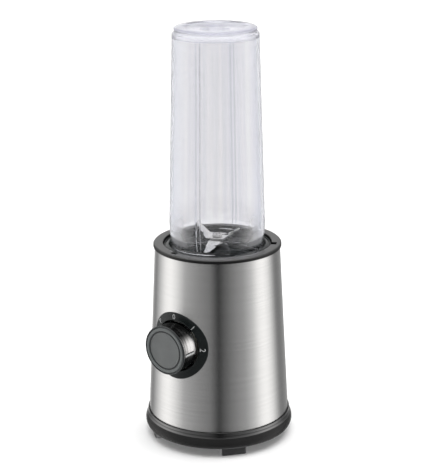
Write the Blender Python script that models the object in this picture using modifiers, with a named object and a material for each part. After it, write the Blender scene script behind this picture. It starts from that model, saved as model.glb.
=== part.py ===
"""Personal countertop blender: steel-sleeved motor base, bayonet blade unit and clear inverted cup.

Frame: metres, +Z up. The origin is on the motor axis at the level the feet stand on.
The control knob faces -Y and the cord gland faces +Y.
An azimuth is measured about +Z from -Y towards +X.
"""
import math

import bmesh
import bpy
from mathutils import Euler, Matrix, Vector

MM = 0.001
GAP = 0.3 * MM                      # kept between touching pieces
STEPS = 40                          # facets round a large turned piece
FINE_STEPS = 20                     # facets round a small turned piece

# Motor base, from the floor up
FOOT_HEIGHT = 6.2 * MM
FOOT_WIDTH = 22.0 * MM
FOOT_DEPTH = 8.5 * MM
FOOT_OUTER = 56.0 * MM
FOOT_AZIMUTHS = (51.0, 141.0, 231.0, 321.0)
COVER_RADIUS = 57.0 * MM
COVER_TOP = 9.7 * MM
FLANGE_RADIUS = 61.0 * MM
FLANGE_CREST = 16.3 * MM
FLANGE_WIDEST = 11.7 * MM
FLANGE_BOTTOM = 7.7 * MM
LIP_RADIUS = 58.8 * MM
LIP_TOP = 21.3 * MM
SHELL_SEAT = 17.6 * MM

# Tapered steel shell
SHELL_LOW_RADIUS = 57.8 * MM
SHELL_LOW_Z = 20.9 * MM
SHELL_TOP_RADIUS = 50.8 * MM
SHELL_TOP_Z = 161.0 * MM
SHELL_WALL = 0.6 * MM

# Top collar, docking well and bayonet
COLLAR_RADIUS = 51.9 * MM
COLLAR_OPENING = 44.0 * MM
COLLAR_TOP = 164.3 * MM
COLLAR_BOTTOM = SHELL_TOP_Z + GAP
NOTCH_OUTER = 48.3 * MM
NOTCH_WIDTH = 6.0 * MM
NOTCH_AZIMUTHS = (119.0, -8.5, -125.0)
TWIST_DEG = 30.0
WELL_RADIUS = 47.6 * MM
WELL_WALL = 1.8 * MM
WELL_FLOOR = 137.0 * MM
WELL_FLOOR_THICKNESS = 3.0 * MM
WELL_HOLE_RADIUS = 12.5 * MM
LEG_RADIUS = 3.8 * MM
LEG_REACH = 46.5 * MM
LEG_BOTTOM = 10.0 * MM
SCREW_AZIMUTHS = (74.0, 106.0, 254.0, 286.0)

# Control knob and dial
KNOB_Z = 90.5 * MM
KNOB_FACE = 68.4 * MM
KNOB_RADIUS = 20.1 * MM
KNOB_BACK = 53.0 * MM
CAP_RADIUS = 14.9 * MM
BEZEL_RADIUS = 27.2 * MM
BEZEL_BORE = 20.9 * MM
BEZEL_LIFT = 0.5 * MM
BEZEL_BACK = 43.0 * MM
SWITCH_FRONT = 50.0 * MM
SWITCH_BACK = 38.6 * MM
SWITCH_WIDTH = 24.0 * MM
SWITCH_SHAFT_RADIUS = 3.0 * MM

# Cord gland in the rear wall
GLAND_Z = 36.0 * MM
GLAND_RADIUS = 5.5 * MM
GLAND_BORE = 3.6 * MM
GLAND_END = 68.4 * MM

# Universal motor
SHAFT_RADIUS = 3.0 * MM
SHAFT_BOTTOM = 27.0 * MM
SHAFT_TOP = 145.8 * MM
CORE_BOTTOM = 62.0 * MM
CORE_TOP = 97.0 * MM
STATOR_HALF_X = 36.0 * MM
STATOR_HALF_Y = 33.0 * MM
STATOR_BORE = 19.3 * MM
ARMATURE_RADIUS = 18.7 * MM
COIL_X = 24.0 * MM
COIL_THICKNESS = 7.0 * MM
COIL_INNER_Y = 18.2 * MM
COIL_OUTER_Y = 25.0 * MM
COIL_OVERHANG = 7.4 * MM
COMMUTATOR_RADIUS = 10.5 * MM
COMMUTATOR_BOTTOM = 107.0 * MM
COMMUTATOR_TOP = 118.5 * MM
BRUSH_Z = 113.0 * MM
BEARING_RADIUS = 9.5 * MM
BEARING_WIDTH = 6.0 * MM
TOP_BRACKET_Z = 121.0 * MM
TOP_BRACKET_RADIUS = 35.0 * MM
BOTTOM_BRACKET_Z = 46.0 * MM
BRACKET_THICKNESS = 4.0 * MM
BRACKET_LEG_Y = 29.7 * MM
MOUNT_PLACES = ((22.0, 18.0), (22.0, -18.0), (-22.0, -18.0), (-22.0, 18.0))
FAN_RADIUS = 36.0 * MM
FAN_BOTTOM = 30.0 * MM
FAN_TOP = 42.0 * MM
FAN_VANES = 9

# Drive coupling between motor shaft and blade shaft
DOG_COUNT = 6
DOG_ARC_DEG = 9.0
DOG_OFFSET_DEG = 15.0
DOG_INNER = 6.2 * MM
DOG_OUTER = 9.6 * MM
DRIVE_TOP = 146.2 * MM
DRIVEN_BOTTOM = 149.8 * MM

# Bayonet lock ring and its interlock
RING_BOTTOM = 137.4 * MM
RING_TOP = 140.4 * MM
RING_INNER = 37.0 * MM
RING_OUTER = 47.2 * MM
DOG_BLOCK_TOP = 147.5 * MM
LUG_OUTER = 43.7 * MM
LUG_WIDTH = 6.0 * MM
LUG_BOTTOM = 143.6 * MM
LUG_TOP = 148.6 * MM
PLUNGER_Y = 41.0 * MM
PLUNGER_RADIUS = 1.8 * MM
PLUNGER_TRAVEL = 2.0 * MM
PLUNGER_TOP = RING_BOTTOM - GAP
MICROSWITCH_TOP = 120.5 * MM

# Blade unit
HOLDER_RIM = 43.2 * MM
HOLDER_TOP = 163.3 * MM
HOLDER_WALL = 41.0 * MM
HOLDER_BORE = 38.7 * MM
HOLDER_FLOOR = 151.0 * MM
HOLDER_BOTTOM = 143.0 * MM
HUB_TOP = 163.0 * MM
HUB_BASE_RADIUS = 12.5 * MM
HUB_TOP_RADIUS = 5.8 * MM
BUSH_RADIUS = 4.6 * MM
BLADE_SHAFT_RADIUS = 2.6 * MM
BLADE_TURN_DEG = 19.0
BLADE_THICKNESS = 1.3 * MM
UPPER_BLADE_Z = 167.7 * MM
LOWER_BLADE_Z = 166.0 * MM

# Cup
CUP_BOTTOM = 153.6 * MM
CUP_NECK_RADIUS = 37.0 * MM
CUP_NECK_TOP = 166.0 * MM
CUP_BELLY_RADIUS = 38.6 * MM
CUP_BELLY_Z = 182.0 * MM
CUP_UPPER_RADIUS = 34.53 * MM
CUP_UPPER_Z = 324.0 * MM
CUP_WALL = 2.4 * MM
CUP_RIM_RADIUS = 32.75 * MM
CUP_RIM_Z = 337.2 * MM
CUP_TOP = 338.8 * MM
CUP_END_OUTER = 337.3 * MM
CUP_END_INNER = 333.6 * MM
RIB_AZIMUTHS = (14.5, 194.5)
RIB_WIDTH = 3.0 * MM
RIB_DEPTH = 1.2 * MM


def clear_scene():
    for obj in list(bpy.data.objects):
        bpy.data.objects.remove(obj, do_unlink=True)


def make_collection(name):
    collection = bpy.data.collections.new(name)
    bpy.context.scene.collection.children.link(collection)
    return collection


def make_material(name, colour, roughness, metallic=0.0, alpha=1.0):
    material = bpy.data.materials.new(name)
    material.use_nodes = True
    shader = material.node_tree.nodes["Principled BSDF"]
    shader.inputs["Base Color"].default_value = (*colour, 1.0)
    shader.inputs["Roughness"].default_value = roughness
    shader.inputs["Metallic"].default_value = metallic
    shader.inputs["Alpha"].default_value = alpha
    return material


clear_scene()
PARTS = make_collection("countertop_blender")
CUTTERS = make_collection("cutters")

BRUSHED_STEEL = make_material("brushed_steel", (0.62, 0.61, 0.59), 0.30, metallic=1.0)
BLADE_STEEL = make_material("blade_steel", (0.70, 0.69, 0.67), 0.22, metallic=1.0)
DARK_STEEL = make_material("dark_steel", (0.35, 0.35, 0.36), 0.40, metallic=1.0)
COPPER = make_material("copper", (0.72, 0.36, 0.20), 0.35, metallic=1.0)
BLACK_PLASTIC = make_material("black_plastic", (0.030, 0.033, 0.035), 0.45)
KNOB_CHROME = make_material("knob_chrome", (0.70, 0.70, 0.69), 0.08, metallic=1.0)
KNOB_GREY = make_material("knob_grey", (0.16, 0.16, 0.16), 0.35)
WHITE_INK = make_material("white_ink", (0.85, 0.85, 0.84), 0.40)
NYLON = make_material("nylon", (0.55, 0.54, 0.50), 0.50)
GRAPHITE = make_material("graphite", (0.05, 0.05, 0.05), 0.60)
RUBBER = make_material("rubber", (0.045, 0.045, 0.047), 0.80)
SEAL_RUBBER = make_material("seal_rubber", (0.42, 0.43, 0.44), 0.60)
CLEAR_PLASTIC = make_material("clear_plastic", (0.93, 0.95, 0.97), 0.05, alpha=0.25)


def add_object(name, mesh, material, collection=None):
    """Link a new object, in the parts collection unless another is given."""
    obj = bpy.data.objects.new(name, mesh)
    if material is not None:
        mesh.materials.append(material)
    (collection or PARTS).objects.link(obj)
    return obj


def mesh_from_bmesh(name, bm):
    mesh = bpy.data.meshes.new(name)
    bm.to_mesh(mesh)
    bm.free()
    return mesh


def box_object(name, low, high, material=None, collection=None):
    """A box between two corners, with its origin at its centre."""
    low = Vector(low)
    high = Vector(high)
    bm = bmesh.new()
    bmesh.ops.create_cube(bm, size=1.0)
    size = high - low
    bmesh.ops.scale(bm, vec=size, verts=bm.verts)
    obj = add_object(name, mesh_from_bmesh(name, bm), material, collection)
    obj.location = (low + high) / 2
    return obj


def cylinder_object(name, radius, bottom, top, material=None, collection=None, steps=FINE_STEPS):
    """A cylinder about the local Z axis, with its origin on the axis at height 0."""
    bm = bmesh.new()
    bmesh.ops.create_cone(
        bm, cap_ends=True, segments=steps, radius1=radius, radius2=radius, depth=top - bottom,
        matrix=Matrix.Translation((0.0, 0.0, (bottom + top) / 2)))
    return add_object(name, mesh_from_bmesh(name, bm), material, collection)


def turned_object(name, profile, material=None, collection=None, steps=STEPS):
    """Turn an outline about local Z. It runs down the outer side; a bore closes it up the inner side."""
    mesh = bpy.data.meshes.new(name)
    points = [(radius, 0.0, height) for radius, height in profile]
    edges = [(index, index + 1) for index in range(len(points) - 1)]
    on_axis = profile[0][0] == 0.0 and profile[-1][0] == 0.0
    if not on_axis:
        edges.append((len(points) - 1, 0))
    mesh.from_pydata(points, edges, [])
    obj = add_object(name, mesh, material, collection)
    screw = obj.modifiers.new("turn", "SCREW")
    screw.axis = "Z"
    screw.steps = steps
    screw.render_steps = steps
    screw.use_merge_vertices = True
    screw.merge_threshold = 0.01 * MM
    screw.use_normal_calculate = False
    return obj


def add_bevel(obj, width, segments=2):
    bevel = obj.modifiers.new("bevel", "BEVEL")
    bevel.width = width
    bevel.segments = segments
    bevel.limit_method = "ANGLE"
    bevel.angle_limit = math.radians(40)
    return bevel


def combine(target, tool, operation):
    """Apply a tool body to a target with an exact Boolean, and keep the tool as a hidden guide."""
    tool.hide_render = True
    tool.display_type = "WIRE"
    boolean = target.modifiers.new(operation.lower(), "BOOLEAN")
    boolean.operation = operation
    boolean.solver = "EXACT"
    boolean.object = tool


def at_azimuth(radius, degrees, height=0.0):
    angle = math.radians(degrees)
    return Vector((radius * math.sin(angle), -radius * math.cos(angle), height))


def place_round(obj, radius, degrees, height=0.0):
    """Put an object at an azimuth, its local -Y facing away from the axis."""
    obj.location = at_azimuth(radius, degrees, height)
    obj.rotation_euler = (0.0, 0.0, math.radians(degrees))


def block_at_azimuth(name, inner, outer, width, bottom, top, degrees, material=None, collection=None):
    """A block whose length runs out from the axis at an azimuth; its origin is on the axis."""
    bm = bmesh.new()
    bmesh.ops.create_cube(bm, size=1.0)
    bmesh.ops.scale(bm, vec=(width, outer - inner, top - bottom), verts=bm.verts)
    bmesh.ops.translate(bm, vec=(0.0, -(inner + outer) / 2, (bottom + top) / 2), verts=bm.verts)
    obj = add_object(name, mesh_from_bmesh(name, bm), material, collection)
    obj.rotation_euler = (0.0, 0.0, math.radians(degrees))
    return obj


def make_pivot(name, location, rotation=(0.0, 0.0, 0.0)):
    pivot = bpy.data.objects.new(name, None)
    pivot.location = location
    pivot.rotation_euler = rotation
    pivot.empty_display_size = 0.01
    PARTS.objects.link(pivot)
    return pivot


def shell_radius(height):
    """Outer radius of the tapered steel shell."""
    slope = (SHELL_TOP_RADIUS - SHELL_LOW_RADIUS) / (SHELL_TOP_Z - SHELL_LOW_Z)
    return SHELL_LOW_RADIUS + slope * (height - SHELL_LOW_Z)


def ring_profile(inner, outer, bottom, top):
    return [(outer, top), (outer, bottom), (inner, bottom), (inner, top)]


def make_feet():
    for index, azimuth in enumerate(FOOT_AZIMUTHS, start=1):
        foot = box_object(
            f"foot_{index}",
            (-FOOT_WIDTH / 2, -FOOT_DEPTH / 2, 0.0),
            (FOOT_WIDTH / 2, FOOT_DEPTH / 2, FOOT_HEIGHT), RUBBER)
        place_round(foot, FOOT_OUTER - FOOT_DEPTH / 2, azimuth, FOOT_HEIGHT / 2)
        bevel = add_bevel(foot, 2.6 * MM, 3)
        bevel.limit_method = "WEIGHT"
        weights = foot.data.attributes.new("bevel_weight_edge", "FLOAT", "EDGE")
        for edge in foot.data.edges:
            first, second = (foot.data.vertices[i].co for i in edge.vertices)
            is_upright = abs(first.z - second.z) > FOOT_HEIGHT / 2
            weights.data[edge.index].value = 1.0 if is_upright else 0.0


def make_bottom_cover():
    cover_bottom = FOOT_HEIGHT + GAP
    cover = turned_object(
        "bottom_cover",
        [(0.0, COVER_TOP), (COVER_RADIUS, COVER_TOP), (COVER_RADIUS, cover_bottom + 0.8 * MM),
         (COVER_RADIUS - 0.8 * MM, cover_bottom), (0.0, cover_bottom)],
        BLACK_PLASTIC)
    vent_count = 12
    for index in range(vent_count):
        azimuth = (index + 0.5) * 360.0 / vent_count
        vent = block_at_azimuth(
            f"vent_cutter_{index}", 13.0 * MM, 31.0 * MM, 3.2 * MM,
            cover_bottom - 1.0 * MM, COVER_TOP + 1.0 * MM, azimuth, collection=CUTTERS)
        combine(cover, vent, "DIFFERENCE")
    for index, azimuth in enumerate(SCREW_AZIMUTHS):
        hole = turned_object(
            f"screw_hole_cutter_{index}",
            [(0.0, COVER_TOP + 1.0 * MM), (1.7 * MM, COVER_TOP + 1.0 * MM), (1.7 * MM, 8.4 * MM),
             (3.6 * MM, 8.4 * MM), (3.6 * MM, cover_bottom - 1.0 * MM), (0.0, cover_bottom - 1.0 * MM)],
            collection=CUTTERS, steps=16)
        hole.location = at_azimuth(LEG_REACH, azimuth)
        combine(cover, hole, "DIFFERENCE")


def make_cover_screws():
    head_top = 8.1 * MM
    head_bottom = 6.6 * MM
    for index, azimuth in enumerate(SCREW_AZIMUTHS, start=1):
        screw = turned_object(
            f"cover_screw_{index}",
            [(0.0, 24.0 * MM), (1.0 * MM, 23.0 * MM), (1.3 * MM, 22.0 * MM), (1.3 * MM, head_top),
             (3.1 * MM, head_top), (3.1 * MM, head_bottom), (0.0, head_bottom)],
            DARK_STEEL, steps=16)
        screw.location = at_azimuth(LEG_REACH, azimuth)


def make_base_ring():
    """The foot of the shell: a thin lip, a sloped shoulder and a convex skirt round the bottom cover."""
    cover_seat = COVER_TOP + GAP
    skirt_inner = COVER_RADIUS + GAP
    spigot_top = 26.0 * MM
    turned_object(
        "base_ring",
        [(LIP_RADIUS - 0.3 * MM, LIP_TOP), (LIP_RADIUS, LIP_TOP - 0.4 * MM),
         (LIP_RADIUS + 0.1 * MM, SHELL_SEAT + 1.6 * MM), (LIP_RADIUS - 0.3 * MM, SHELL_SEAT + 0.9 * MM),
         (FLANGE_RADIUS - 1.5 * MM, FLANGE_CREST + 0.3 * MM),
         (FLANGE_RADIUS - 1.1 * MM, FLANGE_CREST - 0.3 * MM),
         (FLANGE_RADIUS - 0.3 * MM, FLANGE_WIDEST + 2.2 * MM), (FLANGE_RADIUS, FLANGE_WIDEST),
         (FLANGE_RADIUS - 0.3 * MM, FLANGE_WIDEST - 2.0 * MM), (FLANGE_RADIUS - 1.2 * MM, FLANGE_BOTTOM),
         (skirt_inner, FLANGE_BOTTOM), (skirt_inner, cover_seat),
         (53.0 * MM, cover_seat), (53.0 * MM, spigot_top), (56.3 * MM, spigot_top),
         (56.7 * MM, SHELL_SEAT), (58.2 * MM, SHELL_SEAT), (58.2 * MM, LIP_TOP)],
        BLACK_PLASTIC)


def make_steel_shell():
    bottom = SHELL_SEAT + GAP
    shell = turned_object(
        "steel_shell",
        [(SHELL_TOP_RADIUS, SHELL_TOP_Z), (shell_radius(bottom), bottom),
         (shell_radius(bottom) - SHELL_WALL, bottom), (SHELL_TOP_RADIUS - SHELL_WALL, SHELL_TOP_Z)],
        BRUSHED_STEEL)
    dial_hole = cylinder_object(
        "dial_hole_cutter", BEZEL_RADIUS + GAP, 30.0 * MM, 80.0 * MM, collection=CUTTERS, steps=STEPS)
    dial_hole.location = (0.0, 0.0, KNOB_Z)
    dial_hole.rotation_euler = (math.radians(90), 0.0, 0.0)
    combine(shell, dial_hole, "DIFFERENCE")
    gland_hole = cylinder_object(
        "gland_hole_cutter", GLAND_RADIUS + GAP, 40.0 * MM, 80.0 * MM, collection=CUTTERS)
    gland_hole.location = (0.0, 0.0, GLAND_Z)
    gland_hole.rotation_euler = (math.radians(-90), 0.0, 0.0)
    combine(shell, gland_hole, "DIFFERENCE")


def make_top_collar():
    collar = turned_object(
        "top_collar",
        [(COLLAR_OPENING, COLLAR_TOP), (COLLAR_RADIUS - 1.0 * MM, COLLAR_TOP),
         (COLLAR_RADIUS - 0.2 * MM, COLLAR_TOP - 0.4 * MM), (COLLAR_RADIUS, COLLAR_TOP - 1.1 * MM),
         (COLLAR_RADIUS, COLLAR_BOTTOM), (COLLAR_OPENING, COLLAR_BOTTOM)],
        BLACK_PLASTIC)
    for index, azimuth in enumerate(NOTCH_AZIMUTHS):
        notch = block_at_azimuth(
            f"notch_cutter_{index}", COLLAR_OPENING - 3.0 * MM, NOTCH_OUTER, NOTCH_WIDTH,
            COLLAR_BOTTOM - 1.0 * MM, COLLAR_TOP + 1.0 * MM, azimuth, collection=CUTTERS)
        combine(collar, notch, "DIFFERENCE")


def make_docking_well():
    """The well that takes the blade unit, with four legs that the bottom cover is screwed to."""
    floor_bottom = WELL_FLOOR - WELL_FLOOR_THICKNESS
    outer = WELL_RADIUS + WELL_WALL
    well = turned_object(
        "docking_well",
        [(WELL_RADIUS, COLLAR_BOTTOM - GAP), (outer, COLLAR_BOTTOM - GAP), (outer, floor_bottom),
         (WELL_HOLE_RADIUS, floor_bottom), (WELL_HOLE_RADIUS, WELL_FLOOR + 1.6 * MM),
         (WELL_HOLE_RADIUS + 2.0 * MM, WELL_FLOOR + 1.6 * MM), (WELL_HOLE_RADIUS + 2.0 * MM, WELL_FLOOR),
         (WELL_RADIUS, WELL_FLOOR)],
        BLACK_PLASTIC)
    for index, azimuth in enumerate(SCREW_AZIMUTHS):
        leg = cylinder_object(
            f"leg_guide_{index}", LEG_RADIUS, LEG_BOTTOM, floor_bottom + 1.0 * MM,
            collection=CUTTERS, steps=16)
        leg.location = at_azimuth(LEG_REACH - 1.0 * MM, azimuth)
        combine(well, leg, "UNION")
        pilot = cylinder_object(
            f"pilot_cutter_{index}", 1.6 * MM, LEG_BOTTOM - 1.0 * MM, 30.0 * MM, collection=CUTTERS, steps=16)
        pilot.location = at_azimuth(LEG_REACH, azimuth)
        combine(well, pilot, "DIFFERENCE")
    plunger_hole = cylinder_object(
        "plunger_hole_cutter", PLUNGER_RADIUS + GAP, floor_bottom - 1.0 * MM, WELL_FLOOR + 1.0 * MM,
        collection=CUTTERS, steps=16)
    plunger_hole.location = (0.0, PLUNGER_Y, 0.0)
    combine(well, plunger_hole, "DIFFERENCE")


def make_dial_bezel():
    """A tube round the knob, its front face following the shell and standing slightly proud of it."""
    bezel = turned_object(
        "dial_bezel", ring_profile(BEZEL_BORE, BEZEL_RADIUS, BEZEL_BACK, 62.0 * MM), BLACK_PLASTIC)
    bezel.location = (0.0, 0.0, KNOB_Z)
    bezel.rotation_euler = (math.radians(90), 0.0, 0.0)
    low = 40.0 * MM
    high = 140.0 * MM
    envelope = turned_object(
        "bezel_envelope",
        [(0.0, high), (shell_radius(high) + BEZEL_LIFT, high),
         (shell_radius(low) + BEZEL_LIFT, low), (0.0, low)],
        collection=CUTTERS, steps=80)
    combine(bezel, envelope, "INTERSECT")


def make_control():
    """Knob, cap, pointer and spindle on the knob axis, and the fixed switch behind them."""
    pivot = make_pivot("knob_axis", (0.0, 0.0, KNOB_Z), (math.radians(90), 0.0, 0.0))
    bore = SWITCH_SHAFT_RADIUS + GAP
    floor = KNOB_FACE - 3.2 * MM
    body = turned_object(
        "knob_body",
        [(CAP_RADIUS + GAP, KNOB_FACE - 1.0 * MM), (CAP_RADIUS + 1.3 * MM, KNOB_FACE - 1.0 * MM),
         (CAP_RADIUS + 1.6 * MM, KNOB_FACE), (KNOB_RADIUS - 0.9 * MM, KNOB_FACE),
         (KNOB_RADIUS - 0.3 * MM, KNOB_FACE - 0.3 * MM), (KNOB_RADIUS, KNOB_FACE - 0.9 * MM),
         (KNOB_RADIUS - 0.2 * MM, KNOB_BACK), (KNOB_RADIUS - 1.9 * MM, KNOB_BACK),
         (KNOB_RADIUS - 2.0 * MM, 60.0 * MM), (7.0 * MM, 60.0 * MM), (7.0 * MM, 53.5 * MM),
         (bore, 53.5 * MM), (bore, floor), (CAP_RADIUS + GAP, floor)],
        KNOB_CHROME)
    groove = box_object(
        "pointer_cutter",
        (18.9 * MM, -1.9 * MM, KNOB_BACK + 2.2 * MM), (23.0 * MM, 0.7 * MM, KNOB_FACE - 2.0 * MM),
        collection=CUTTERS)
    combine(body, groove, "DIFFERENCE")
    pointer = box_object(
        "knob_pointer",
        (19.2 * MM, -1.6 * MM, KNOB_BACK + 2.5 * MM), (20.2 * MM, -0.3 * MM, KNOB_FACE - 2.3 * MM),
        WHITE_INK)
    cap = turned_object(
        "knob_cap",
        [(0.0, KNOB_FACE - 0.5 * MM), (CAP_RADIUS - 0.5 * MM, KNOB_FACE - 0.5 * MM),
         (CAP_RADIUS, KNOB_FACE - 0.9 * MM), (CAP_RADIUS, floor + GAP), (0.0, floor + GAP)],
        KNOB_GREY)
    spindle = cylinder_object(
        "switch_shaft", SWITCH_SHAFT_RADIUS, SWITCH_FRONT - 4.0 * MM, floor - 0.1 * MM, DARK_STEEL)
    switch = box_object(
        "rotary_switch",
        (-SWITCH_WIDTH / 2, -SWITCH_WIDTH / 2, SWITCH_BACK),
        (SWITCH_WIDTH / 2, SWITCH_WIDTH / 2, SWITCH_FRONT),
        NYLON)
    socket = cylinder_object(
        "switch_socket_cutter", bore, SWITCH_FRONT - 5.0 * MM, SWITCH_FRONT + 1.0 * MM, collection=CUTTERS)
    combine(switch, socket, "DIFFERENCE")
    add_bevel(switch, 1.0 * MM, 1)
    bracket = box_object(
        "switch_bracket",
        (-16.0 * MM, -20.0 * MM, 36.6 * MM), (16.0 * MM, 20.0 * MM, SWITCH_BACK - GAP), DARK_STEEL)
    add_bevel(bracket, 0.3 * MM, 1)
    for obj in (body, groove, pointer, cap, spindle, switch, socket, bracket):
        obj.parent = pivot


def make_cord_gland():
    """The inlet bush for the supply cord; its bore is empty."""
    wall = shell_radius(GLAND_Z)
    gland = turned_object(
        "cord_gland",
        [(GLAND_BORE, GLAND_END), (GLAND_RADIUS - 1.0 * MM, GLAND_END),
         (GLAND_RADIUS - 0.4 * MM, GLAND_END - 0.8 * MM),
         (GLAND_RADIUS + 1.2 * MM, wall + 2.0 * MM), (GLAND_RADIUS + 2.2 * MM, wall + 1.6 * MM),
         (GLAND_RADIUS + 2.2 * MM, wall + 0.5 * MM), (GLAND_RADIUS, wall + 0.5 * MM),
         (GLAND_RADIUS, wall - 3.0 * MM), (GLAND_RADIUS + 1.6 * MM, wall - 3.0 * MM),
         (GLAND_RADIUS + 1.6 * MM, wall - 5.0 * MM), (GLAND_BORE, wall - 5.0 * MM)],
        RUBBER, steps=FINE_STEPS)
    gland.location = (0.0, 0.0, GLAND_Z)
    gland.rotation_euler = (math.radians(-90), 0.0, 0.0)


def make_stator():
    core = box_object(
        "stator_core",
        (-STATOR_HALF_X, -STATOR_HALF_Y, CORE_BOTTOM), (STATOR_HALF_X, STATOR_HALF_Y, CORE_TOP),
        DARK_STEEL)
    bore = cylinder_object(
        "stator_bore_cutter", STATOR_BORE, CORE_BOTTOM - 1.0 * MM, CORE_TOP + 1.0 * MM, collection=CUTTERS)
    combine(core, bore, "DIFFERENCE")
    clearance = 0.8 * MM
    half = COIL_THICKNESS / 2 + clearance
    for side_x in (-1, 1):
        for side_y in (-1, 1):
            near = COIL_INNER_Y - clearance
            far = COIL_OUTER_Y + clearance
            pocket = box_object(
                f"coil_pocket_cutter_{side_x}_{side_y}",
                (side_x * COIL_X - half, min(side_y * near, side_y * far), CORE_BOTTOM - 1.0 * MM),
                (side_x * COIL_X + half, max(side_y * near, side_y * far), CORE_TOP + 1.0 * MM),
                collection=CUTTERS)
            combine(core, pocket, "DIFFERENCE")
    for side, side_name in ((-1, "left"), (1, "right")):
        coil = box_object(
            f"field_coil_{side_name}",
            (side * COIL_X - COIL_THICKNESS / 2, -COIL_OUTER_Y, CORE_BOTTOM - COIL_OVERHANG),
            (side * COIL_X + COIL_THICKNESS / 2, COIL_OUTER_Y, CORE_TOP + COIL_OVERHANG), COPPER)
        window = box_object(
            f"coil_window_cutter_{side_name}",
            (side * COIL_X - COIL_THICKNESS, -COIL_INNER_Y, CORE_BOTTOM - 0.4 * MM),
            (side * COIL_X + COIL_THICKNESS, COIL_INNER_Y, CORE_TOP + 0.4 * MM), collection=CUTTERS)
        add_bevel(coil, 1.6 * MM, 2)
        combine(coil, window, "DIFFERENCE")


def make_bearing(name, middle):
    turned_object(
        name,
        ring_profile(
            SHAFT_RADIUS + GAP, BEARING_RADIUS, middle - BEARING_WIDTH / 2, middle + BEARING_WIDTH / 2),
        DARK_STEEL, steps=FINE_STEPS)


def make_bracket(name, plate_bottom, plate_radius, bearing_middle, leg_low, leg_high):
    """A plate across the motor with a bearing housing at its centre and two legs to the stator."""
    plate_top = plate_bottom + BRACKET_THICKNESS
    bore = BEARING_RADIUS + GAP
    housing = bore + 2.0 * MM
    housing_low = bearing_middle - BEARING_WIDTH / 2 - 0.5 * MM
    housing_high = bearing_middle + BEARING_WIDTH / 2 + 0.5 * MM
    plate = turned_object(
        name, ring_profile(bore, plate_radius, plate_bottom, plate_top), DARK_STEEL, steps=FINE_STEPS)
    boss = turned_object(
        f"{name}_boss_guide", ring_profile(bore, housing, housing_low, housing_high),
        collection=CUTTERS, steps=FINE_STEPS)
    combine(plate, boss, "UNION")
    for side in (-1, 1):
        window = box_object(
            f"{name}_window_cutter_{side}",
            (side * 22.0 * MM - 6.0 * MM, -11.0 * MM, plate_bottom - 1.0 * MM),
            (side * 22.0 * MM + 6.0 * MM, 11.0 * MM, plate_top + 1.0 * MM), collection=CUTTERS)
        combine(plate, window, "DIFFERENCE")
        leg = box_object(
            f"{name}_leg_guide_{side}",
            (-6.0 * MM, side * BRACKET_LEG_Y - 2.3 * MM, leg_low),
            (6.0 * MM, side * BRACKET_LEG_Y + 2.3 * MM, leg_high), collection=CUTTERS)
        combine(plate, leg, "UNION")


def make_motor_frame():
    upper_middle = TOP_BRACKET_Z + BRACKET_THICKNESS / 2 + 0.5 * MM
    lower_middle = BOTTOM_BRACKET_Z + BRACKET_THICKNESS / 2
    make_bearing("upper_bearing", upper_middle)
    make_bearing("lower_bearing", lower_middle)
    make_bracket("motor_top_bracket", TOP_BRACKET_Z, TOP_BRACKET_RADIUS, upper_middle,
                 CORE_TOP + GAP, TOP_BRACKET_Z + 1.0 * MM)
    make_bracket("motor_bottom_bracket", BOTTOM_BRACKET_Z, TOP_BRACKET_RADIUS, lower_middle,
                 BOTTOM_BRACKET_Z + BRACKET_THICKNESS - 1.0 * MM, CORE_BOTTOM - GAP)
    for index, (place_x, place_y) in enumerate(MOUNT_PLACES, start=1):
        bottom = TOP_BRACKET_Z + BRACKET_THICKNESS + GAP
        top = WELL_FLOOR - WELL_FLOOR_THICKNESS - GAP
        waist = (bottom + top) / 2
        mount = turned_object(
            f"motor_mount_{index}",
            [(0.0, top), (5.0 * MM, top), (5.0 * MM, top - 2.0 * MM), (3.6 * MM, waist),
             (5.0 * MM, bottom + 2.0 * MM), (5.0 * MM, bottom), (0.0, bottom)],
            RUBBER, steps=16)
        mount.location = (place_x * MM, place_y * MM, 0.0)


def make_brush_gear():
    for side, side_name in ((-1, "left"), (1, "right")):
        near = side * (COMMUTATOR_RADIUS + GAP)
        far = side * 24.0 * MM
        brush = box_object(
            f"carbon_brush_{side_name}",
            (min(near, far), -2.5 * MM, BRUSH_Z - 2.5 * MM),
            (max(near, far), 2.5 * MM, BRUSH_Z + 2.5 * MM), GRAPHITE)
        add_bevel(brush, 0.3 * MM, 1)
        near = side * 13.0 * MM
        far = side * 26.0 * MM
        holder = box_object(
            f"brush_holder_{side_name}",
            (min(near, far), -4.4 * MM, BRUSH_Z - 4.4 * MM),
            (max(near, far), 4.4 * MM, BRUSH_Z + 4.4 * MM), NYLON)
        channel = box_object(
            f"brush_channel_cutter_{side_name}",
            (min(near, far) - 1.0 * MM, -2.9 * MM, BRUSH_Z - 2.9 * MM),
            (max(near, far) + 1.0 * MM, 2.9 * MM, BRUSH_Z + 2.9 * MM), collection=CUTTERS)
        combine(holder, channel, "DIFFERENCE")


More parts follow.
